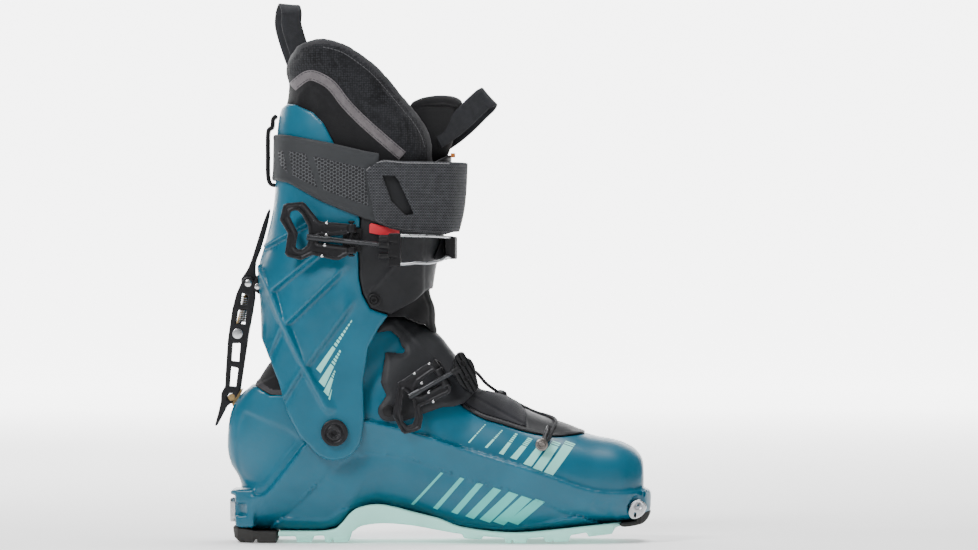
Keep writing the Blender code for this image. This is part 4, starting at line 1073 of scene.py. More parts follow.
def sawtooth(down, up):
    """Facet between two ribs: a steep fall below the upper one, then a rise to the lower."""
    share = down / (down + up + 0.01)
    start = RIB_FALL / (down + up + 0.01)
    fall = RIB_HIGH - (RIB_HIGH + RIB_DEEP) * ramp(down, 0.5, RIB_FALL)
    climb = ramp((share - start) / np.maximum(1 - start, 0.05), 0, 1)
    rise = -RIB_DEEP + (RIB_HIGH + RIB_DEEP) * climb ** 1.3
    return np.where(down < RIB_FALL, fall, rise)


def cuff_relief(x, z):
    """Moulded ribs of the cuff's side: a spine, cross ribs with pockets, and two spurs."""
    s = [signed_line(x, z, rib) for rib in CROSS_RIBS]
    top = RIB_HIGH * np.exp(np.minimum(s[0], 0) / 5.0)
    right = np.where(s[0] < 0, top, sawtooth(s[0], np.maximum(-s[1], 0)))
    right = np.where(s[1] > 0, sawtooth(s[1], np.maximum(-s[2], 0)), right)
    right = np.where(s[2] > 0, sawtooth(s[2], np.maximum(-s[3], 0)), right)
    dip = 0.8 * sstep(s[3], 2, 4) * (1 - ramp(s[3], 5, 14))
    last = RIB_HIGH * (1 - ramp(s[3], 0.4, RIB_FALL)) - dip
    right = np.where(s[3] > 0, last, right)
    away = signed_line(x, z, [(-46, 140), (-60, 196), (-84, 236)])
    right = right * sstep(-away, -2, 12)
    spine = signed_line(x, z, spline(SPINE_RIB, 3))
    left = np.zeros_like(right)
    for spur in SPURS:
        run = signed_line(x, z, spur)
        left = left + 1.5 * np.exp(-((run + 0.8) / 2.2) ** 2)
        left = left - 1.3 * np.exp(-((run - 2.4) / 1.8) ** 2)
    knuckle = signed_line(x, z, [(-122, 201), (-110.2, 185.6)])
    left = left * sstep(spine, 0, 2) + 1.2 * np.exp(-np.abs(knuckle) / 2.0)
    low_end = sstep(z, 118, 106)
    steepness = 1.15 - 0.65 * low_end * (spine < 0)
    crest = RIB_HIGH + 0.3 - np.maximum(np.abs(spine) - 0.7, 0) * steepness
    side = np.where(spine > 0, left, right)
    fade_end = sstep(z, 84, 96)
    return np.maximum(side, crest * fade_end + (1 - fade_end) * -3) * sstep(z, 82, 96)


def cuff_shell(g):
    x, z = g.xz
    form = cuff_form(g)
    relief = cuff_relief(x, z)[:, None, :] * sstep(np.abs(g.y), 13, 22)
    body = smax(form - relief, -CUFF_WALL - form, 0.6)
    outline = g.side(CUFF_OUTLINE)
    body = smax(body, outline, 1.2)
    knuckle = np.hypot(x - LEVER_HINGE[0], z - LEVER_HINGE[1])[:, None, :] - 6.2
    return smax(body, -smax(knuckle, np.abs(g.y) - 6.3, 0.5), 0.6)


cuff = solid("cuff_moulding", (-128, -54, 55), (-28, 54, 312), 1.1, cuff_shell, TEAL_SHELL, "cuff",
             ["cuff_shell"])
cuff_tree = tree_of(cuff)


def cuff_overlap(g):
    x, z = g.xz
    form = cuff_form(g)
    seam = signed_line(x, z, [(-6.9, 150), (-6.9, 270)])
    step = 0.9 * sstep(seam, -0.5, 0.5)
    crease = signed_line(x, z, [(-41, 180), (-30, 192)])
    from_crease = line_distance(x, z, [(-45, 176), (-26, 197)])
    fold = 0.9 * np.exp(-(crease / 1.4) ** 2) * sstep(from_crease, 4, 0)
    outer = form + (step - fold)[:, None, :]
    body = smax(outer, -(CUFF_WALL - 0.6) - form, 0.5)
    return smax(body, g.side(OVERLAP_OUTLINE), 1.0)


solid("cuff_front_overlap", (-64, -54, 156), (20, 54, 266), 1.0, cuff_overlap, SOFT_BLACK, "cuff",
      ["cuff_overlap"])
rivet_pair("overlap_rivet", "head", (-41.6, 46.6, 170.6), 4.6, BLACK_PLASTIC, "cuff",
           ["overlap_rivet"], 1.3, 1.3)


def pivot_bolt(side):
    def build(g):
        radial = np.hypot(g.x - PIVOT[0], g.z - PIVOT[1])
        out = g.y * side
        ring = slab(radial - 9.4, out, 47.2, 1.8, 0.9)
        dish = np.maximum(radial - 6.4, 48.0 - out)
        ring = smax(ring, -dish, 0.4)
        button = slab(radial - 5.2, out, 47.4, 1.3, 0.6)
        ring = smin(ring, button, 0.2)
        socket = hexagon(g.x - PIVOT[0], g.z - PIVOT[1]) - 1.9
        lobes = radial - 3.4 - 0.35 * np.cos(6 * np.arctan2(g.z - PIVOT[1], g.x - PIVOT[0]))
        ring = smax(ring, -np.maximum(lobes, 48.3 - out), 0.2)
        return smax(ring, -np.maximum(socket, 46.5 - out), 0.2)
    return build


for tag, side in (("outer", -1), ("inner", 1)):
    low, high = sorted((side * 44, side * 50.5))
    solid(f"pivot_bolt_head_{tag}", (-81, low, 66), (-58, high, 90), 0.35, pivot_bolt(side),
          BUCKLE, "cuff",
          [f"pivot_bolt_{tag}"])


# ---------------------------------------------------------------- printed stripes
def slanted(foot, head, wide_low, wide_high, dashes=0, dash_share=0.45, cut=(1.0, -0.35)):
    """A slanted bar as patches: solid below, broken into dashes towards its head."""
    foot, head = np.array(foot, float), np.array(head, float)
    run = np.array(cut, float) / np.hypot(*cut)

    def patch(t0, t1):
        a, b = foot + (head - foot) * t0, foot + (head - foot) * t1
        w0, w1 = (wide_low + (wide_high - wide_low) * t for t in (t0, t1))
        return [a, a + run * w0, b + run * w1, b]

    if not dashes:
        return [patch(0, 1)]
    start = 1 - dash_share
    step = dash_share / dashes
    return [patch(0, start - step * 0.15)] + [patch(start + i * step + step * 0.3,
                                                    start + (i + 1) * step)
                                              for i in range(dashes)]


FOREFOOT_BARS = [((23.9, 70.9), (35.9, 83.6), 1.2, 0.6, 6, 0.55),
                 ((35.6, 67.6), (47.4, 79.6), 1.9, 1.0, 6, 0.5),
                 ((45.4, 63.4), (57.0, 77.4), 3.3, 1.9, 5, 0.42),
                 ((53.4, 60.4), (66.0, 74.4), 4.6, 3.3, 5, 0.36),
                 ((62.4, 56.2), (75.2, 72.0), 6.0, 5.0, 3, 0.16),
                 ((69.0, 53.2), (83.4, 72.2), 6.8, 5.8, 2, 0.12),
                 ((76.8, 50.4), (92.4, 72.0), 6.8, 7.2, 2, 0.10)]
PANEL_BARS = [((-16.1, 27.2), (6.5, 51.6), 2.0), ((-0.6, 24.7), (19.9, 48.1), 3.4),
              ((12.2, 21.9), (32.0, 44.5), 4.6), ((22.1, 19.1), (43.3, 41.0), 6.2),
              ((32.0, 17.0), (54.2, 38.2), 7.6), ((41.4, 15.4), (63.1, 35.2), 8.2),
              ((51.6, 15.6), (72.4, 33.0), 7.8)]
PANEL_BAR_SHARE = 0.93         # how much of its length each side bar keeps
CUFF_BARS = [((-82.3, 122.5), (-57.6, 156.6), 4.4, 0.8, 8, 0.52),
             ((-80.5, 113.5), (-65.8, 135.9), 5.6, 1.4, 5, 0.42),
             ((-77.2, 106.6), (-69.5, 121.5), 4.8, 1.0, 3, 0.3),
             ((-73.8, 101.6), (-71.4, 108.2), 1.6, 0.3, 0, 0)]

forefoot_patches = [patch for bar in FOREFOOT_BARS for patch in slanted(*bar)]
laid("forefoot_stripes", shell_tree, forefoot_patches, MINT_PRINT, "lower")
side_patches = []
for foot, head, wide in PANEL_BARS:
    end = np.array(foot) * (1 - PANEL_BAR_SHARE) + np.array(head) * PANEL_BAR_SHARE
    side_patches += slanted(foot, end, wide, wide * 0.9)
laid("side_stripes", shell_tree, side_patches, DEEP_MINT_PRINT, "lower")
cuff_patches = [patch for bar in CUFF_BARS for patch in slanted(*bar, cut=(1, -1.0))]
laid("cuff_stripes", cuff_tree, cuff_patches, MINT_PRINT, "cuff", pitch=0.9)

# ---------------------------------------------------------------- liner
LINER_TOP = [(-20, 100), (30, 150), (8, 262), (-0.8, 268.7), (-0.8, 278.6), (-3.7, 288.5),
             (-9.8, 299), (-18.2, 309), (-31, 324.6), (-42.6, 336.6), (-58.6, 347.9), (-67, 351.4),
             (-77.3, 354.0), (-86, 352.9), (-96, 349), (-102, 342.6), (-130, 342)]
RIBBON = [(-110, 310.0), (-101.7, 318.4), (-95.5, 323.5), (-88.5, 327.7), (-81.5, 326.8),
          (-71.5, 320.5), (-61.3, 307.5), (-49, 295), (-33.5, 281.3), (-22, 271.5)]


LINER_INSET, LINER_CUFF_INSET = 5.2, 4.0     # how far the liner lies inside the two forms


def liner_form(g):
    """The liner's outer form: inside the foot shell below, flaring to the cuff above."""
    x, z = g.xz
    foot, _ = shell_form(g)
    turn = 124 + 27 * sstep(x, -108, -62)
    share = sstep(z, turn + 3, turn + 34)[:, None, :]
    return (foot + LINER_INSET) * (1 - share) + (cuff_form(g) + LINER_CUFF_INSET) * share


def puffs(g):
    """Padding that stands proud between the sewn lines of the collar."""
    x, z = g.xz
    ribbon = line_distance(x, z, spline(RIBBON, 3))
    rim = line_distance(x, z, LINER_TOP[2:-1])
    above = signed_line(x, z, spline(RIBBON, 2))
    soft = sstep(ribbon, 2.5, 11) * sstep(rim, 1.5, 9) * sstep(-above, 0, 5)
    low = 0.7 * sstep(ribbon, 2.5, 8) * sstep(above, 0, 5)
    return (1.9 * soft + low * sstep(z, 268, 290))[:, None, :] * sstep(z, 262, 280)[:, None, :]


SHIN = [(120, -8), (130, -4), (140, 0.5), (149, 2.4), (163, 0.2), (177, -2.2), (197, -5.0),
        (206, -4.3), (230, -1), (262, 5)]


def liner_shin(g):
    """The liner's front over the shin, seen between the overlap and the instep flap."""
    front = np.interp(g.z, *zip(*SHIN)) - 0.021 * g.y ** 2
    seam = 1.1 * np.exp(-((np.abs(g.y) - 13) / 1.1) ** 2)
    slope = np.sqrt(1 + (0.042 * g.y) ** 2)
    wall = np.abs((g.x - front) / slope + 3.6 + seam) - 3.6
    return smax(smax(wall, np.abs(g.y) - 33, 2), np.abs(g.z - 196) - 66, 2)


def liner_upper(g):
    form = liner_form(g)
    outer = form - puffs(g)
    inner = form + 8.0 - 1.2 * sstep(g.z, 300, 335)
    body = smax(outer, -inner, 3.4)
    body = smax(body, g.side(spline(LINER_TOP, 2, True)), 3.6)
    throat = g.side([(-36, 360), (-34, 318), (-20, 286), (-14, 262), (40, 262), (40, 380),
                     (-36, 380)])
    return smax(body, -smax(throat, np.abs(g.y) - 27, 3), 2.5)


LINER_FLOOR = [(-150, 21), (-75, 21), (-42, 37.5), (-20, 34.5), (20, 22), (60, 19.5), (130, 24)]


def liner_lower(g):
    form = liner_form(g)
    body = smax(form, -(form + 6.0), 1.2)
    return smax(body, signed_line(*g.xz, LINER_FLOOR)[:, None, :], 1.5)


def crumple(g):
    """Folds where the liner bends in front of the ankle."""
    fold = np.sin((g.z - 0.7 * g.x) * 0.24 + 0.9 * np.sin(g.y * 0.14)) * 0.8
    return fold * sstep(g.x, -40, -14) * sstep(g.z, 146, 158) * sstep(g.z, 196, 178)


def liner(g):
    x, z = g.xz
    low = liner_lower(g)
    high = liner_upper(g)
    share = sstep(g.z, 196, 206)
    foot, _ = shell_form(g)
    edge = polygon(x, z, FLAP_OUTLINE) + 6 * sstep(x, -7, 1)
    clear = sstep(edge, -2.5, 0.5) * sstep(0.6 * x + z, 131, 137)
    shin = smax(liner_shin(g), foot + 1.2 - 45 * clear[:, None, :], 1.0)
    return smin(low * (1 - share) + high * share, shin, 2.0) - crumple(g)


def crown(obj, name, frames=14):
    """Let the collar's padding swell against its sewn lines: a short pressure cloth run."""
    x, _, z = places_of(obj.data.vertices).T
    free = sstep(z, 284, 298) * sstep(line_distance(x, z, spline(RIBBON, 3)), 3.0, 9.0)
    group = obj.vertex_groups.new(name="sewn")
    for i, value in enumerate(1 - free):
        if value > 0.001:
            group.add([i], float(value), "REPLACE")
    cloth = obj.modifiers.new("cloth", "CLOTH")
    setup = cloth.settings
    setup.quality = 4
    setup.mass = 0.15
    setup.tension_stiffness = setup.compression_stiffness = 12
    setup.shear_stiffness = 6
    setup.bending_stiffness = 0.6
    setup.vertex_group_mass = "sewn"
    setup.pin_stiffness = 1.0
    setup.use_pressure = True
    setup.uniform_pressure_force = 0.22
    setup.shrink_min = -0.012
    setup.effector_weights.gravity = 0.0
    cloth.collision_settings.use_collision = False
    cloth.point_cache.frame_end = frames
    scene = bpy.context.scene
    for frame_number in range(1, frames + 1):
        scene.frame_set(frame_number)
    mesh = bpy.data.meshes.new_from_object(obj.evaluated_get(bpy.context.evaluated_depsgraph_get()))
    obj.modifiers.clear()
    obj.data = mesh
    mesh.name = name
    scene.frame_set(1)


def liner_material_split(obj):
    """Mesh cloth above the ribbon, smooth cloth below it, binding along the rim."""
    obj.data.materials.append(LINER_SMOOTH)
    obj.data.materials.append(LINER_BINDING)
    x, _, z = places_of(obj.data.polygons, "center").T
    below = signed_line(x, z, spline(RIBBON, 3)) > 0
    rim = polygon(x, z, spline(LINER_TOP, 2, True)) > -3.6
    index = np.where(rim & (z > 262), 2, np.where(below, 1, 0)).astype(np.int32)
    obj.data.polygons.foreach_set("material_index", index)


collar.data.materials.append(LINER_SMOOTH)
x, _, z = places_of(collar.data.polygons, "center").T
COLLAR_LINE = [(-124, 136), (-127.4, 119), (-123.7, 110), (-114.8, 104), (-103, 103.4)]
trim_gap = line_distance(x, z, spline(COLLAR_LINE, 4))
collar.data.polygons.foreach_set("material_index", (trim_gap > 4.2).astype(np.int32))

padding = solid("liner_padding", (-122, -52, 22), (26, 52, 358), 1.65, liner, LINER_MESH, None)
crown(padding, "liner_padding")
liner_material_split(padding)
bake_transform(padding)
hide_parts("liner_cuff")
padding_tree = tree_of(padding)


def toe_box(g):
    form, _ = shell_form(g)
    body = smax(form + LINER_INSET, -(form + 10.0), 1.2)
    body = smax(body, signed_line(*g.xz, LINER_FLOOR)[:, None, :], 1.5)
    return smax(body, 25.0 - g.x, 0.5)


solid("liner_toe_box", (22, -52, 16), (146, 56, 112), 1.6, toe_box, LINER_SMOOTH, "lower",
      ["liner_foot"])


# ribbon, rim thread and stitches follow the collar's finished surface
def on_surface(tree, route, side, lift):
    places = []
    for x, z in route:
        hit, normal = from_side(tree, x, z, side)
        if hit is not None:
            places.append(hit + normal * lift)
    return places


def strip_on(name, tree, route, width, lift, mat, body, sides=(-1, 1), rows=5):
    """A ribbon laid along a side-view line, its edges following the surface."""
    verts, faces, uv = [], [], []
    route = np.array(route)
    runs = headings(route)
    across = np.stack([-runs[:, 1], runs[:, 0]], 1)
    for side in sides:
        grid = []
        length = 0.0
        for i, (place, off) in enumerate(zip(route, across)):
            if i:
                length += np.linalg.norm(place - route[i - 1])
            line = []
            for k in range(rows):
                x, z = place + off * width * (k / (rows - 1) - 0.5)
                hit, normal = from_side(tree, x, z, side)
                if hit is None:
                    line = []
                    break
                crown_lift = lift * (1 - 0.75 * abs(2 * k / (rows - 1) - 1) ** 4)
                line.append(len(verts))
                verts.append(tuple(hit + normal * crown_lift))
                uv.append((length * MM, width * k / (rows - 1) * MM))
            grid.append(line)
        for a, b in zip(grid, grid[1:]):
            if a and b:
                for k in range(rows - 1):
                    quad = (a[k], b[k], b[k + 1], a[k + 1])
                    faces.append(quad if side < 0 else quad[::-1])
    made = new_object(name, verts, faces, mat, uv)
    face_outward(made)
    return put(made, body)


def stitches(name, tree, route, pitch, length, radius, mat, body, sides=(-1, 1), lift=0.25):
    """Short raised threads along a side-view line."""
    verts, faces = [], []
    route = np.array(route)
    run = np.concatenate([[0], np.cumsum(np.linalg.norm(np.diff(route, axis=0), axis=1))])
    for side in sides:
        at = 0.0
        while at + length < run[-1]:
            ends = [(np.interp(s, run, route[:, 0]), np.interp(s, run, route[:, 1]))
                    for s in (at, at + length)]
            places = on_surface(tree, ends, side, lift)
            at += pitch
            if len(places) < 2:
                continue
            a, b = places
            along = (b - a).normalized()
            lift_axis = Vector((0, side, 0))
            across = along.cross(lift_axis).normalized() * radius
            rise = across.cross(along).normalized() * radius
            k = len(verts)
            for place in (a - along * radius, a + along * radius * 0.4, b - along * radius * 0.4,
                          b + along * radius):
                size = 0.45 if place in (a - along * radius, b + along * radius) else 1.0
                for u, v in ((1, 0), (0, 1), (-1, 0), (0, -1)):
                    verts.append(tuple(place + across * u * size + rise * v * size))
            for j in range(3):
                low = k + 4 * j
                for q in range(4):
                    faces.append((low + q, low + (q + 1) % 4, low + 4 + (q + 1) % 4, low + 4 + q))
            faces += [(k + 3, k + 2, k + 1, k), (k + 12, k + 13, k + 14, k + 15)]
    made = new_object(name, verts, faces, mat)
    face_outward(made)
    return put(made, body)


ribbon_route = spline(RIBBON[1:], 8)
ribbon_strip = strip_on("collar_ribbon", padding_tree, ribbon_route, 7.4, 0.5, RIBBON_TAPE, "cuff")
ribbon_tree = tree_of(ribbon_strip)


def beside(route, offset):
    """A line offset sideways from a side-view line."""
    route = np.array(route)
    runs = headings(route)
    return route + np.stack([-runs[:, 1], runs[:, 0]], 1) * offset


for tag, offset in (("high", 2.6), ("low", -2.6)):
    stitches(f"ribbon_stitches_{tag}", ribbon_tree, beside(ribbon_route, offset), 2.6, 1.5, 0.3,
             THREAD, "cuff", lift=0.1)
rim_line = spline([(-77.3, 347.5), (-68, 345.2), (-60.5, 341.6), (-46, 331), (-35, 319.5),
                   (-22.5, 304.5), (-14.5, 295), (-9, 285.5), (-6, 276)], 6)
stitches("rim_stitches", padding_tree, rim_line, 2.6, 1.6, 0.3, THREAD, "cuff", lift=0.05)


TONGUE_BOW = 0.05


def tongue(g):
    """A padded sheet bent round the shin, with a rolled edge sewn along its top."""
    x, z = g.xz
    side = g.side(spline([(-17.5, 306), (-11.2, 311.6), (-3.4, 313.8), (4.4, 314.7), (13.6, 314.2),
                          (19.7, 311.6), (21.6, 308.2), (19.5, 298), (15.3, 282), (11, 270),
                          (8, 256), (8, 236), (-30, 236), (-26, 280)], 3, True))
    middle = np.interp(g.z, [236, 256, 270, 282, 298, 312], [-3, 1.5, 5.0, 9.2, 13.6, 15.8])
    top = np.interp(x, [-18, -6, 8, 21], [303.5, 307.0, 307.6, 305.0])
    seam = 1.5 * np.exp(-((z - top) / 1.0) ** 2)
    roll = 0.9 * sstep(z - top, 0.5, 3.0)
    slope = np.sqrt(1 + (2 * TONGUE_BOW * g.y) ** 2)
    pad = np.abs((g.x + TONGUE_BOW * g.y ** 2 - middle) / slope) - 4.4 + (seam - roll)[:, None, :]
    pad = smax(pad, np.abs(g.y) - 27, 3.0)
    return smax(pad, side, 3.2)


tongue_pad = solid("tongue_padding", (-33, -29, 232), (25, 29, 318), 0.9, tongue, LINER_SMOOTH,
                   "cuff", ["liner_tongue"])


def guard(g):
    form = cuff_form(g)
    side = g.side(spline([(-4, 262), (0, 267), (6, 270.6), (12, 273), (16.4, 272), (17.4, 266),
                          (17, 258), (-2, 258)], 3, True))
    return smax(smax(form + 2.2, -(form + 5.2), 0.6), side, 1.6)


solid("tongue_guard", (-8, -46, 254), (20, 46, 276), 0.7, guard, SOFT_BLACK, "cuff")


def orange_tab(g):
    return slab(np.maximum(np.abs(g.x - 13.5) - 1.6, np.abs(g.z - 272.6) - 1.5), g.y, -7, 3.2, 0.4)


solid("tongue_tab", (10, -12, 269), (18, -2, 276), 0.3, orange_tab, ORANGE, "cuff")


# ---------------------------------------------------------------- power strap
STRAP_REAR = [(-140, 287.4), (-111, 287.1), (-103.1, 286.4), (-84.7, 282.9), (-69.9, 280),
              (-47.5, 274.6), (-38, 273), (-38, 224.2), (-47.5, 227), (-64.2, 233.4),
              (-79.1, 239.7), (-101.7, 252.4), (-111, 254.6), (-140, 255.2)]
STRAP_FRONT = [(-47.2, 262.3), (-35.9, 268.7), (-21.1, 267.6), (30, 267.3), (30, 219),
               (13.6, 218.5), (7.9, 216.8), (-21.1, 218.7), (-29.6, 220.2), (-41.2, 225.2),
               (-42.8, 233.4), (-46.4, 252.4)]
STRAP_SLOT = [(-35.9, 257.8), (-27.2, 257.2), (-24.6, 253.9), (-14.0, 230.8), (-19.7, 229.8),
              (-29.6, 239.7)]


def strap_rear(g):
    x, z = g.xz
    form = cuff_form(g)
    outline = polygon(x, z, STRAP_REAR)
    bead = 0.35 * np.exp(-((outline + 2.2) / 0.9) ** 2)
    layer = smax(form - 2.7 + (0.25 - bead)[:, None, :], 0.35 - form, 0.5)
    return smax(layer, outline[:, None, :], 0.8)


def strap_front(g):
    form = cuff_form(g)
    outline = g.side(STRAP_FRONT)
    proud = 4.6 * sstep(g.x, -4, 16)
    layer = smax(form - 4.8 - proud, 2.9 * sstep(-g.x, 30, 38) + 0.35 + proud - form, 0.4)
    layer = smax(layer, outline, 0.8)
    slot = g.side(STRAP_SLOT)
    return smax(layer, -np.maximum(slot, g.y), 0.8)


rear_strap = solid("power_strap_band", (-118, -58, 220), (-34, 58, 292), 0.9, strap_rear,
                   STRAP_GREY, "cuff",
                   ["power_strap_rear"], ring_uv)
rear_tree = tree_of(rear_strap)
front_strap = solid("power_strap_front_band", (-50, -58, 212), (24, 58, 272), 0.85, strap_front,
                    STRAP_WEAVE, "cuff",
                    ["power_strap_front"], ring_uv)
front_tree = tree_of(front_strap)
COMB_PATCHES = [
    [(-109.6, 274.8), (-105.6, 275.2), (-102.4, 259.4), (-107.6, 265.2)],
    [(-101.6, 274.9), (-89.6, 272.8), (-81.3, 249.0), (-98.6, 257.6)],
    [(-84.2, 271.2), (-48.4, 262.6), (-45.6, 236.2), (-76.8, 247.4)],
]
laid("strap_honeycomb", rear_tree, COMB_PATCHES, COMB, "cuff", 0.15, pitch=1.0)
STRAP_TOP_SEAM = [(-46.4, 253), (-46.6, 261.4), (-36.1, 267.4), (-21.1, 266.4), (-2, 266.2),
                  (11, 266.1)]
STRAP_LOW_SEAM = [(-45, 233.8), (-43.4, 227.5), (-29.9, 221.8), (-21.1, 220.2), (-4, 219.0),
                  (7.9, 218.4)]
stitches("strap_edge_thread", front_tree, spline(STRAP_TOP_SEAM, 5), 1.7, 1.45, 0.35, STRAP_EDGE,
         "cuff", lift=0.1)
stitches("strap_lower_thread", front_tree, STRAP_LOW_SEAM, 1.7, 1.4, 0.3, THREAD, "cuff", lift=0.1)


def strap_keeper(g):
    x, z = g.xz
    line = spline([(-111.8, 300), (-113.6, 298), (-114.2, 292.6), (-117.0, 289), (-117.3, 272),
                   (-117.1, 258), (-115.4, 252.4), (-111.5, 251.4)], 5)
    wire = line_distance(x, z, line) - 1.35
    body = slab(wire[:, None, :], g.y, 0, 11, 0.8)
    window = np.maximum(np.abs(g.y) - 7.6, np.abs(g.z - 272) - 12)
    body = smax(body, -np.maximum(window, g.x + 115), 0.6)
    return smax(body, 0.25 - cuff_form(g), 0.4)


solid("strap_keeper_clip", (-121, -13, 247), (-108, 13, 303), 0.45, strap_keeper, BLACK_PLASTIC,
      "cuff", ["strap_keeper"])


def side_tag(g):
    side = g.side([(-45.1, 223.2), (-43.8, 224.4), (-24.1, 219.8), (-24.1, 213.9), (-25.6, 213.6),
                   (-45.1, 217.4)])
    form = cuff_form(g)
    layer = smax(smax(form - 1.5, 0.3 - form, 0.3), side, 0.5)
    return smax(layer, g.y + 20, 0.4)


solid("side_tag_label", (-48, -54, 211), (-21, -40, 227), 0.4, side_tag, RED_TAG, "cuff",
      ["side_tag"])


# ---------------------------------------------------------------- pull loops
def pull_loop(name, line, width, thick, near, fold, replaced, shift, lean=0.0):
    """Webbing up the near side, folded over the end of a side-view line, down the far side."""
    line = spline(line, 8)
    steps = np.linspace(0, 1, len(line))
    runs = headings(line)
    half = fold + (near - fold) * (1 - steps) ** 1.3
    turns = np.linspace(-pi / 2, pi / 2, 13)[1:-1]
    end, run = line[-1], runs[-1]
    near_leg = [((*p, -h), r, 0) for p, h, r in zip(line, half, runs)]
    bend = [((*(end + run * fold * cos(t)), fold * sin(t)), run, (t / pi + 0.5)) for t in turns]
    far_leg = [((*p, h), r, 1) for p, h, r in zip(line[::-1], half[::-1], runs[::-1])]
    places, ups = [], []
    for (px, pz, py), r, part in near_leg + bend + far_leg:
        side = np.array([-r[1], 0, r[0]])
        places.append(np.array([px, py, pz]) - side * shift * part)
        ups.append(side + np.array([0, lean * (2 * part - 1), 0]))
    return sweep(name, places, band_section(width, thick, 3), WEBBING, "cuff", ups=ups,
                 stands_for=replaced)


HEEL_LOOP = [(-90.5, 334), (-93, 341), (-96.2, 350), (-99, 359), (-100.6, 366), (-100.2, 372.5)]
pull_loop("heel_pull_loop", HEEL_LOOP, 14.6, 1.9, 9.0, 6.0, ["pull_loop_rear"], -5.0, 0.2)
FRONT_LOOP = [(1.5, 284.5), (7, 288), (14, 293), (22, 300), (29, 307), (34.4, 312)]
pull_loop("tongue_pull_loop", FRONT_LOOP, 16.2, 2.0, 18.0, 4.6, ["pull_loop_front"], 3.6, 0.25)

# ---------------------------------------------------------------- walk lock
def walk_lever(g):
    x, z = g.xz
    outline = [(-136.2, 184.5), (-134.8, 187.4), (-131.2, 193), (-127.5, 203), (-121.6, 222),
               (-117.2, 233.6), (-115.6, 233.4), (-117.8, 222), (-122.4, 206), (-125.6, 197),
               (-125.6, 187), (-121.5, 183), (-121.8, 177.6), (-127.5, 176.2), (-134.6, 178.6)]
    plate = slab(g.side(spline(outline, 3, True)), g.y, 0, 5.6, 0.8)
    groove = np.maximum(np.abs(g.y) - 3.2, 196 - g.z)
    back = signed_line(x, z, [(-131.2, 193), (-127.5, 203), (-121.6, 222)])[:, None, :]
    plate = smax(plate, -np.maximum(groove, np.abs(back) - 0.7), 0.4)
    for center, radius in ((LEVER_HINGE, 2.1), (BAR_HINGE, 2.2)):
        plate = smax(plate, radius - np.hypot(g.x - center[0], g.z - center[1]), 0.3)
    return plate


solid("walk_lever_handle", (-139, -7, 173), (-112, 7, 237), 0.4, walk_lever, BUCKLE, "walk_lever",
      ["walk_lever"])
LOCK_OUTLINE = [*arc(BAR_HINGE, 4.8, 10, 160, 6), (-139.4, 175), (-142.3, 164.1), (-145.5, 142.1),
                (-146.9, 120.2), (-147.4, 109.6), (-150.1, 104.9), (-150.4, 98.6), (-152.4, 90),
                (-154.6, 82), (-153.2, 81.6), (-149.6, 88.5), (-146.0, 95.4), (-141.6, 98.6),
                (-136.6, 106.8), (-133.6, 127.3), (-130.8, 145.7), (-127.8, 162), (-126.2, 172)]
LOCK_WINDOWS = [[(-135.6, 175.6), (-130.8, 173.2), (-132.2, 167.3), (-136.8, 167.3)],
                [(-138.4, 163.2), (-132.2, 163.8), (-133.2, 153.2), (-139.8, 154)],
                [(-142.3, 139.8), (-136.5, 139.9), (-137.6, 126.8), (-143.1, 127.5)],
                [(-143.3, 123.5), (-138.1, 122.3), (-139.7, 109.2), (-144.4, 109.6)]]


def lock_bar(g):
    x, z = g.xz
    side = polygon(x, z, LOCK_OUTLINE)
    for window in LOCK_WINDOWS:
        side = smax(side, -polygon(x, z, window), 0.8)
    side = smax(side, 2.8 - np.hypot(x - HEEL_PIN[0], z - HEEL_PIN[1]), 0.4)
    bar = slab(side[:, None, :], g.y, 0, 9.0, 0.7)
    radial = np.hypot(x - PIVOT[0], z - PIVOT[1])[:, None, :]
    upper = np.maximum(151.5 - g.z, np.abs(g.y) - 6.5)
    below = np.maximum(np.abs(g.y) - 6.5, g.z - 142)
    below = np.maximum(below, np.where(radial > 82.4, 97.5 - g.z, -1.0))
    bar = smax(smax(bar, -upper, 0.5), -below, 0.5)
    pin = cylinder(g, (BAR_HINGE[0], -8, BAR_HINGE[1]), (BAR_HINGE[0], 8, BAR_HINGE[1]), 1.8)
    return np.minimum(bar, pin)


solid("lock_bar_plates", (-157, -10.5, 79), (-123, 10.5, 189), 0.45, lock_bar, BUCKLE, "lock_bar",
      ["lock_bar"])
rivet_pair("lock_rivet", "outer", (-138.5, 9.0, 146.7), 3.7, STEEL, "lock_bar", dome=0.9)
rivet_pair("bar_hinge", "outer", (BAR_HINGE[0], 9.0, BAR_HINGE[1]), 2.6, POLISHED, "lock_bar",
           dome=1.0)
helix = [(-133.2 - 0.28 * (170 - z) * 0.55 + 2.6 * cos(z * 4.2), 2.6 * sin(z * 4.2), z)
         for z in np.linspace(154.5, 173, 150)]
sweep("lock_spring", helix, round_section(0.55, 6), STEEL, "lock_bar")
sweep("lock_spring_core", [(-138.4, 0, 152.5), (-132.4, 0, 174)], round_section(1.7, 12), BRASS,
      "lock_bar")
rivet_pair("lever_hinge", "outer", (LEVER_HINGE[0], 12.0, LEVER_HINGE[1]), 2.2, POLISHED, "cuff",
           dome=0.8)


def lock_bracket(g):
    ear = g.side([(-118.5, 192), (-118.5, 172), (-123.6, 174.6), (-126.8, 177.2), (-127.4, 182),
                  (-125.4, 187.4)])
    body = slab(ear, np.abs(g.y), 10.7, 1.3, 0.5)
    pin = cylinder(g, (LEVER_HINGE[0], -11, LEVER_HINGE[1]), (LEVER_HINGE[0], 11, LEVER_HINGE[1]),
                   1.8)
    return smax(np.minimum(body, pin), 0.25 - cuff_form(g), 0.3)


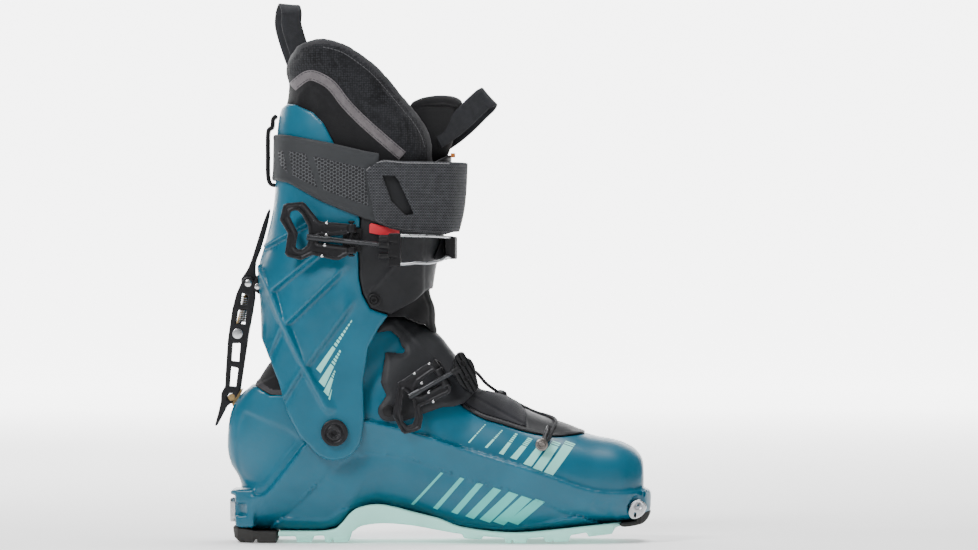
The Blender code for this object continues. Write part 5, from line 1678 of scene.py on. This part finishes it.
solid("lock_bracket_ears", (-130, -13.5, 169), (-115, 13.5, 195), 0.4, lock_bracket, BLACK_PLASTIC,
      "cuff", ["lock_bracket"])
for node, mat in (("heel_pin", BRASS), ("pivot_bushing_outer", BRASS),
                  ("pivot_bushing_inner", BRASS),
                  ("boot_board", DARK_RUBBER), ("footbed", GAITER_CLOTH)):
    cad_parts[node].data.materials[0] = mat

# ---------------------------------------------------------------- upper buckle
UPPER_LEVER = [(-104.9, 236.9), (-102.6, 238.2), (-91.6, 239.2), (-89.6, 238.0), (-80.5, 226.4),
               (-78.6, 225.4), (-60.4, 223.9), (-58.2, 222.6), (-58.2, 217.4), (-60, 216.4),
               (-80.4, 214.6), (-80.6, 211.0), (-60, 208.2), (-58, 207.2), (-58, 203.4),
               (-60.7, 201.4), (-66.3, 198.4), (-70, 198.6), (-84.7, 202.0), (-92.5, 198.4),
               (-102, 200.8), (-103.9, 203), (-101.9, 217.1), (-107.5, 226.6)]
UPPER_WINDOW = [(-100.4, 228.8), (-99.8, 231.9), (-97.6, 233.1), (-94.9, 232.9), (-92.1, 230.3),
                (-87.6, 221.8), (-87.2, 213.2), (-88.6, 208.6), (-92, 206.0), (-94.8, 206.0),
                (-96.4, 207.8), (-94.8, 217.4)]
HINGE_U = (-57.5, -55.0)


def upper_lever(g):
    x, z = g.xz
    side = smax(polygon(x, z, UPPER_LEVER), -polygon(x, z, UPPER_WINDOW), 0.5)
    bend = 0.6 * sstep(-g.x, 84, 106)
    plate = slab(side[:, None, :], g.y + bend, -54.9, 1.7, 0.7)
    plate = smax(plate, -smax(side[:, None, :] + 2.3, g.y + bend + 56.0, 0.5), 0.4)
    for low, high in ((217.6, 223.6), (203.0, 207.6)):
        plate = smin(plate, cylinder(g, (*HINGE_U, low), (*HINGE_U, high), 3.2, 0.5), 0.5)
    bore = np.hypot(g.x - HINGE_U[0], g.y - HINGE_U[1])
    return smax(plate, 1.55 - bore, 0.2)


solid("upper_lever_plate", (-110, -60, 196), (-52, -50.5, 242), 0.4, upper_lever, BUCKLE,
      "upper_lever", ["upper_buckle_lever"])
for i, (x, z) in enumerate([(-74.8, 224.4), (-75.1, 216.0), (-76.2, 209.0), (-78, 201.4)]):
    sweep(f"upper_rivet_{i}", [(x, -57.0, z), (x, -53.6, z)], round_section(1.15, 12), POLISHED,
          "upper_lever", up=(1, 0, 0))


def upper_base(g):
    x, y = HINGE_U
    pin = cylinder(g, (x, y, 201), (x, y, 226), 1.3, 0.3)
    block = np.maximum(np.maximum(np.abs(g.x - x - 1) - 4, np.abs(g.z - 212.4) - 4.2), y + 1 - g.y)
    for z in (225.2, 201.6):
        pin = np.minimum(pin, cylinder(g, (x, y, z - 0.7), (x, y, z + 0.7), 2.3, 0.4))
    plate = slab(g.side([(-64, 206), (-51, 204), (-50, 221), (-63, 222)]), cuff_form(g), 0.9, 0.7,
                 0.4)
    body = smin(pin, smax(block, g.y + 40, 0.5), 0.6)
    return smax(np.minimum(body, np.maximum(plate, g.y)), 0.25 - cuff_form(g), 0.2)


solid("upper_hinge_base", (-67, -60, 198), (-47, -38, 228), 0.4, upper_base, BLACK_PLASTIC, "cuff",
      ["upper_buckle_base"])


def adjust_rod(a, b, thread_from, collar_from):
    """A rod with a knurled collar at its start and a thread after it."""
    a, b = np.array(a), np.array(b)
    run = (b - a) / np.linalg.norm(b - a)
    length = np.linalg.norm(b - a)

    def build(g):
        wx, wy, wz = g.x - a[0], g.y - a[1], g.z - a[2]
        along = wx * run[0] + wy * run[1] + wz * run[2]
        radial = np.sqrt(np.maximum(wx ** 2 + wy ** 2 + wz ** 2 - along ** 2, 0))
        turn = np.arctan2(wy, wz * run[0] - wx * run[2])
        ridge = 0.16 * np.cos(2 * pi * along / 1.0 + turn) * sstep(along, thread_from,
                thread_from + 1)
        swell = 0.35 * sstep(collar_from + 1 - along, 0, 1)
        knurl = swell + 0.12 * np.cos(turn * 10) * sstep(collar_from - along, 0, 1)
        radius = 1.75 + ridge + knurl
        return smax(radial - radius, np.abs(along - length / 2) - length / 2, 0.5)
    return build


solid("upper_adjust_screw", (-91, -63, 205), (-32, -57, 218), 0.3,
      adjust_rod((-88.5, -60.2, 214.6), (-34.5, -60.2, 208.8), 26, 16), CUFF_ALLOY, "upper_rod",
      ["upper_adjust_rod"])


def upper_block(g):
    plan = g.plan([(-31.5, -63.4), (-31.5, -56.4), (-24, -53.6), (-22.6, -54.8), (-23.4, -61.8)])
    body = slab(plan, g.z, 205.6, 11.6, 0.9)
    grooves = np.minimum(np.abs(g.z - 210.5), np.abs(g.z - 200.5)) - 0.5
    body = smax(body, -np.maximum(grooves, g.y + 62.2), 0.3)
    for z in (213.6, 201.3):
        body = smin(body, cylinder(g, (-38.4, -60.2, z), (-30, -60.2, z), 2.5, 0.6), 0.5)
        body = smax(body, 0.9 - np.hypot(g.y + 60.2, g.z - z) - np.maximum(0, g.x + 36.5), 0.2)
    body = smin(body, cylinder(g, (-38.2, -60.2, 209.2), (-31, -60.2, 208.4), 2.9, 0.6), 0.5)
    bars = np.maximum(np.abs(np.abs(g.z - 207.4) - 6.2) - 0.7, np.abs(g.x + 34.5) - 3.6)
    return np.minimum(body, slab(bars, g.y, -60.2, 1.2, 0.3))


solid("upper_bail_block", (-41, -65, 192), (-20, -52, 219), 0.4, upper_block, BLACK_PLASTIC,
      "upper_bail", ["upper_block"])
for tag, z_back, z_mid, z_front in (("top", 215.6, 215.4, 214.6), ("bottom", 195.6, 196.4, 200.6)):
    route = [(-25.2, -58.6, z_back), (-20, -56.6, z_back), (-13, -52.8, z_mid), (-4, -46.4, z_mid),
             (5, -37.0, (z_mid + z_front) / 2), (8.2, -29.5, z_front), (10.8, -20.2, z_front),
             (12.8, -12, z_front)]
    sweep(f"upper_bail_wire_{tag}", spline(route, 5), round_section(1.05, 12), STEEL, "upper_bail",
          up=(0, 0, 1),
          stands_for=[f"upper_wire_{tag}"])


def upper_hook(g):
    plan = g.plan([(8.0, -20.4), (14.8, -18.2), (16.5, -8), (16.4, 2), (12.0, 2), (11.2, -8),
                   (10.0, -14)])
    body = slab(plan, g.z, 207.2, 7.9, 0.9)
    ribs = np.abs(np.mod(g.y + 100, 3.4) - 1.7) - 0.45
    return smax(body, -np.maximum(ribs, -plan - 0.9), 0.3)


solid("upper_front_hook", (5, -22, 198), (20, 4, 217), 0.4, upper_hook, BLACK_PLASTIC,
      "upper_bail", ["upper_hook"])


def front_rack(g):
    plan = g.plan([(-8, -25), (0, -21), (6.8, -15.4), (9.5, -6), (9.9, 8), (8.2, 15), (0, 21),
                   (-8, 25)])
    body = slab(plan, g.z, 207, 8.2, 0.8)
    teeth = np.abs(np.mod(g.y + 101, 5.0) - 2.5) - 0.8
    body = smax(body, -np.maximum(teeth, np.maximum(7.0 - g.x, -plan - 1.2)), 0.3)
    return smax(body, 0.3 - cuff_form(g), 0.3)


solid("front_rack_plate", (-8, -26, 197), (18, 26, 218), 0.45, front_rack, BLACK_PLASTIC, "cuff",
      ["front_rack"])

# ---------------------------------------------------------------- instep buckle
INSTEP_LEVER = [(-25.3, 113.2), (-20.6, 115.6), (-18.5, 117.2), (-8.5, 124.0), (-3.6, 127.0),
                (-1.4, 126.6), (2.4, 123.6), (2.2, 121.4), (-0.6, 120.2), (-10.5, 113.2),
                (-12.8, 108.8), (-12.4, 104.6), (-9.5, 104.2), (2.4, 110.6), (8.6, 113.4),
                (11.0, 112.6), (12.2, 109.6), (12.0, 106.4), (9.6, 104.6), (-3, 98.6), (-9.4, 96.2),
                (-7.5, 88.8), (-9.1, 80.8), (-12, 79), (-20.4, 76.9), (-22.6, 78.4), (-29.1, 90)]
INSTEP_WINDOW = [(-22.6, 92.4), (-22.0, 101.4), (-20.4, 107.2), (-16.6, 104.6), (-14.6, 99.8),
                 (-13.6, 92), (-13.5, 87.6), (-15, 84), (-18.8, 82.8), (-21.2, 85.4)]
HINGE_I = np.array([6.0, -45.6, 116.5])
AXIS_I = np.array([-0.49, 0.0, 0.8717])


def instep_lever(g):
    x, z = g.xz
    side = smax(polygon(x, z, INSTEP_LEVER), -polygon(x, z, INSTEP_WINDOW), 0.5)
    plate = slab(side[:, None, :], g.y, -45.8, 1.7, 0.7)
    plate = smax(plate, -smax(side[:, None, :] + 2.3, g.y + 46.9, 0.5), 0.4)
    barrel = cylinder(g, HINGE_I - 6.8 * AXIS_I, HINGE_I + 6.8 * AXIS_I, 3.1, 0.5)
    plate = smin(plate, barrel, 0.5)
    bore = cylinder(g, HINGE_I - 15 * AXIS_I, HINGE_I + 15 * AXIS_I, 1.5, 0.1)
    return smax(plate, -bore, 0.2)


solid("instep_lever_plate", (-31, -50, 75), (16, -41.5, 130), 0.4, instep_lever, BUCKLE,
      "instep_lever", ["instep_buckle_lever"])
for i, (x, z) in enumerate([(-13.6, 119.4), (-3.2, 126.2), (-8.6, 112.6), (-3.8, 106.2),
                            (7.6, 111.6), (-0.4, 99.6)]):
    sweep(f"instep_rivet_{i}", [(x, -47.9, z), (x, -44.5, z)], round_section(1.0, 12), POLISHED,
          "instep_lever", up=(1, 0, 0))


def instep_base(g):
    pin = cylinder(g, HINGE_I - 8 * AXIS_I, HINGE_I + 11 * AXIS_I, 1.2, 0.3)
    x, z = HINGE_I[0] + 9.4 * AXIS_I[0], HINGE_I[2] + 9.4 * AXIS_I[2]
    ear = g.side([(x - 2.8, z + 0.4), (x + 3, z - 1.0), (x + 3.4, z + 2.4), (x - 1.0, z + 4.6)])
    block = np.maximum(ear, np.maximum(-47.4 - g.y, g.y + 22))
    around = cylinder(g, HINGE_I - 20 * AXIS_I, HINGE_I + 20 * AXIS_I, 2.3)
    block = np.maximum(block, np.where(g.y < HINGE_I[1] + 3.0, around, -1.0))
    form, _ = shell_form(g)
    return smax(smin(pin, block, 0.4), 3.4 - form, 0.2)


solid("instep_hinge_base", (-4, -50, 106), (14, -20, 132), 0.45, instep_base, BLACK_PLASTIC,
      "lower", ["instep_buckle_base"])
solid("instep_adjust_screw", (-20, -54, 100), (16, -48, 124), 0.3,
      adjust_rod((-17.5, -51.0, 103.0), (13.5, -51.0, 120.4), 20, 9), CUFF_ALLOY, "instep_rod",
      ["instep_adjust_rod"])


def instep_block(g):
    outline = spline([(14.6, 129.6), (16.6, 133.4), (20.6, 134.0), (23.2, 130.2), (25.8, 129.0),
                      (28.2, 125.2), (29.6, 118.6), (31, 110.6), (29.2, 106.4), (25.4, 106.6),
                      (18.2, 111.6), (15.2, 116.4), (13.2, 122.8)], 3, True)
    side = g.side(outline)
    body = slab(side, g.y, -34.6, 18.8, 1.0)
    rows = np.abs(np.mod((g.x * 0.87 + g.z * 0.49) + 200, 3.2) - 1.6) - 0.4
    body = smax(body, -np.maximum(rows, g.y + 51.6), 0.25)
    holes = np.minimum(np.hypot(g.x - 20.3, g.z - 126.6), np.hypot(g.x - 23.2, g.z - 116.2)) - 1.7
    body = smax(body, -np.maximum(holes, g.y + 51.5), 0.3)
    neck = cylinder(g, (12.4, -51, 119.8), (18.6, -51, 123.2), 2.8, 0.6)
    form, _ = shell_form(g)
    return smax(smin(body, neck, 0.6), 3.6 - form, 0.3)


solid("instep_bail_block", (10, -56, 102), (34, -13, 137), 0.45, instep_block, BLACK_PLASTIC,
      "instep_bail", ["instep_block"])


# ---------------------------------------------------------------- stage, light and camera
COVE_WALL, COVE_BEND = 8.0, 2.6        # where the cove's wall stands and how wide its bend is, m
NEAR_GLOW, FAR_GLOW = 0.3, 5.0


def stage_material():
    """Pale paper that glows a little more towards the back of the cove."""
    mat, tree, shader = material("pale paper")
    place = add(tree, "ShaderNodeTexCoord").outputs["Object"]
    tree.links.new(mixed(tree, remap(tree, noise(tree, place, 3, 2), 0.3, 0.7), (0.88, 0.88, 0.88),
                         (0.92, 0.92, 0.92)),
                   shader.inputs["Base Color"])
    shader.inputs["Roughness"].default_value = 0.9
    shader.inputs["Emission Color"].default_value = (1, 1, 1, 1)
    apart = add(tree, "ShaderNodeSeparateXYZ")
    tree.links.new(place, apart.inputs[0])
    tree.links.new(remap(tree, apart.outputs["Y"], 0.15, 4.0, NEAR_GLOW, FAR_GLOW),
                   shader.inputs["Emission Strength"])
    return mat


def area_light(name, place, target, size, power):
    lamp = bpy.data.lights.new(name, "AREA")
    lamp.shape = "RECTANGLE"
    lamp.size, lamp.size_y = size
    lamp.energy = power
    made = bpy.data.objects.new(name, lamp)
    made.location = place
    made.rotation_euler = (Vector(target) - Vector(place)).to_track_quat("-Z", "Y").to_euler()
    bpy.context.scene.collection.objects.link(made)


bend = [(COVE_WALL - COVE_BEND * (1 - sin(t)), COVE_BEND * (1 - cos(t)))
        for t in np.linspace(0, pi / 2, 25)]
profile = [(-6, 0), (-1, 0), (0, 0), (1, 0), (2, 0), *bend, (COVE_WALL, 4.2)]
cove_verts = [(x, y, z) for y, z in profile for x in (-4, 4)]
cove_faces = [(2 * i, 2 * i + 1, 2 * i + 3, 2 * i + 2) for i in range(len(profile) - 1)]
floor_mesh = bpy.data.meshes.new("floor")
floor_mesh.from_pydata(cove_verts, [], cove_faces)
floor_mesh.materials.append(stage_material())
floor_mesh.polygons.foreach_set("use_smooth", [True] * len(cove_faces))
floor = bpy.data.objects.new("floor", floor_mesh)
floor.location.z = -0.0002
bpy.context.scene.collection.objects.link(floor)

world = bpy.data.worlds.new("studio")
world.use_nodes = True
world.node_tree.nodes["Background"].inputs["Color"].default_value = (1, 1, 1, 1)
world.node_tree.nodes["Background"].inputs["Strength"].default_value = 0.18
bpy.context.scene.world = world
AIM = (0.0, 0.0, 0.16)
area_light("key", (-1.0, -1.3, 1.5), AIM, (0.6, 0.5), 40)
area_light("fill", (1.6, -1.5, 0.6), AIM, (1.2, 1.0), 3)
area_light("top", (0.3, 0.2, 1.9), AIM, (1.0, 0.7), 40)
area_light("rim", (-0.9, 1.3, 1.0), AIM, (0.8, 1.0), 14)

SHOT_WIDTH = 0.6916            # what the picture spans at the boot's middle plane, m
SHOT_RANGE = 4.0
lens = bpy.data.cameras.new("camera")
lens.sensor_width = 36
lens.lens = 36 * SHOT_RANGE / SHOT_WIDTH
lens.shift_x = 0.0390 / SHOT_WIDTH
camera = bpy.data.objects.new("camera", lens)
camera.location = (0, MID_Y * MM - SHOT_RANGE, 0.1881)
camera.rotation_euler = (pi / 2, 0, 0)
bpy.context.scene.collection.objects.link(camera)
bpy.context.scene.camera = camera
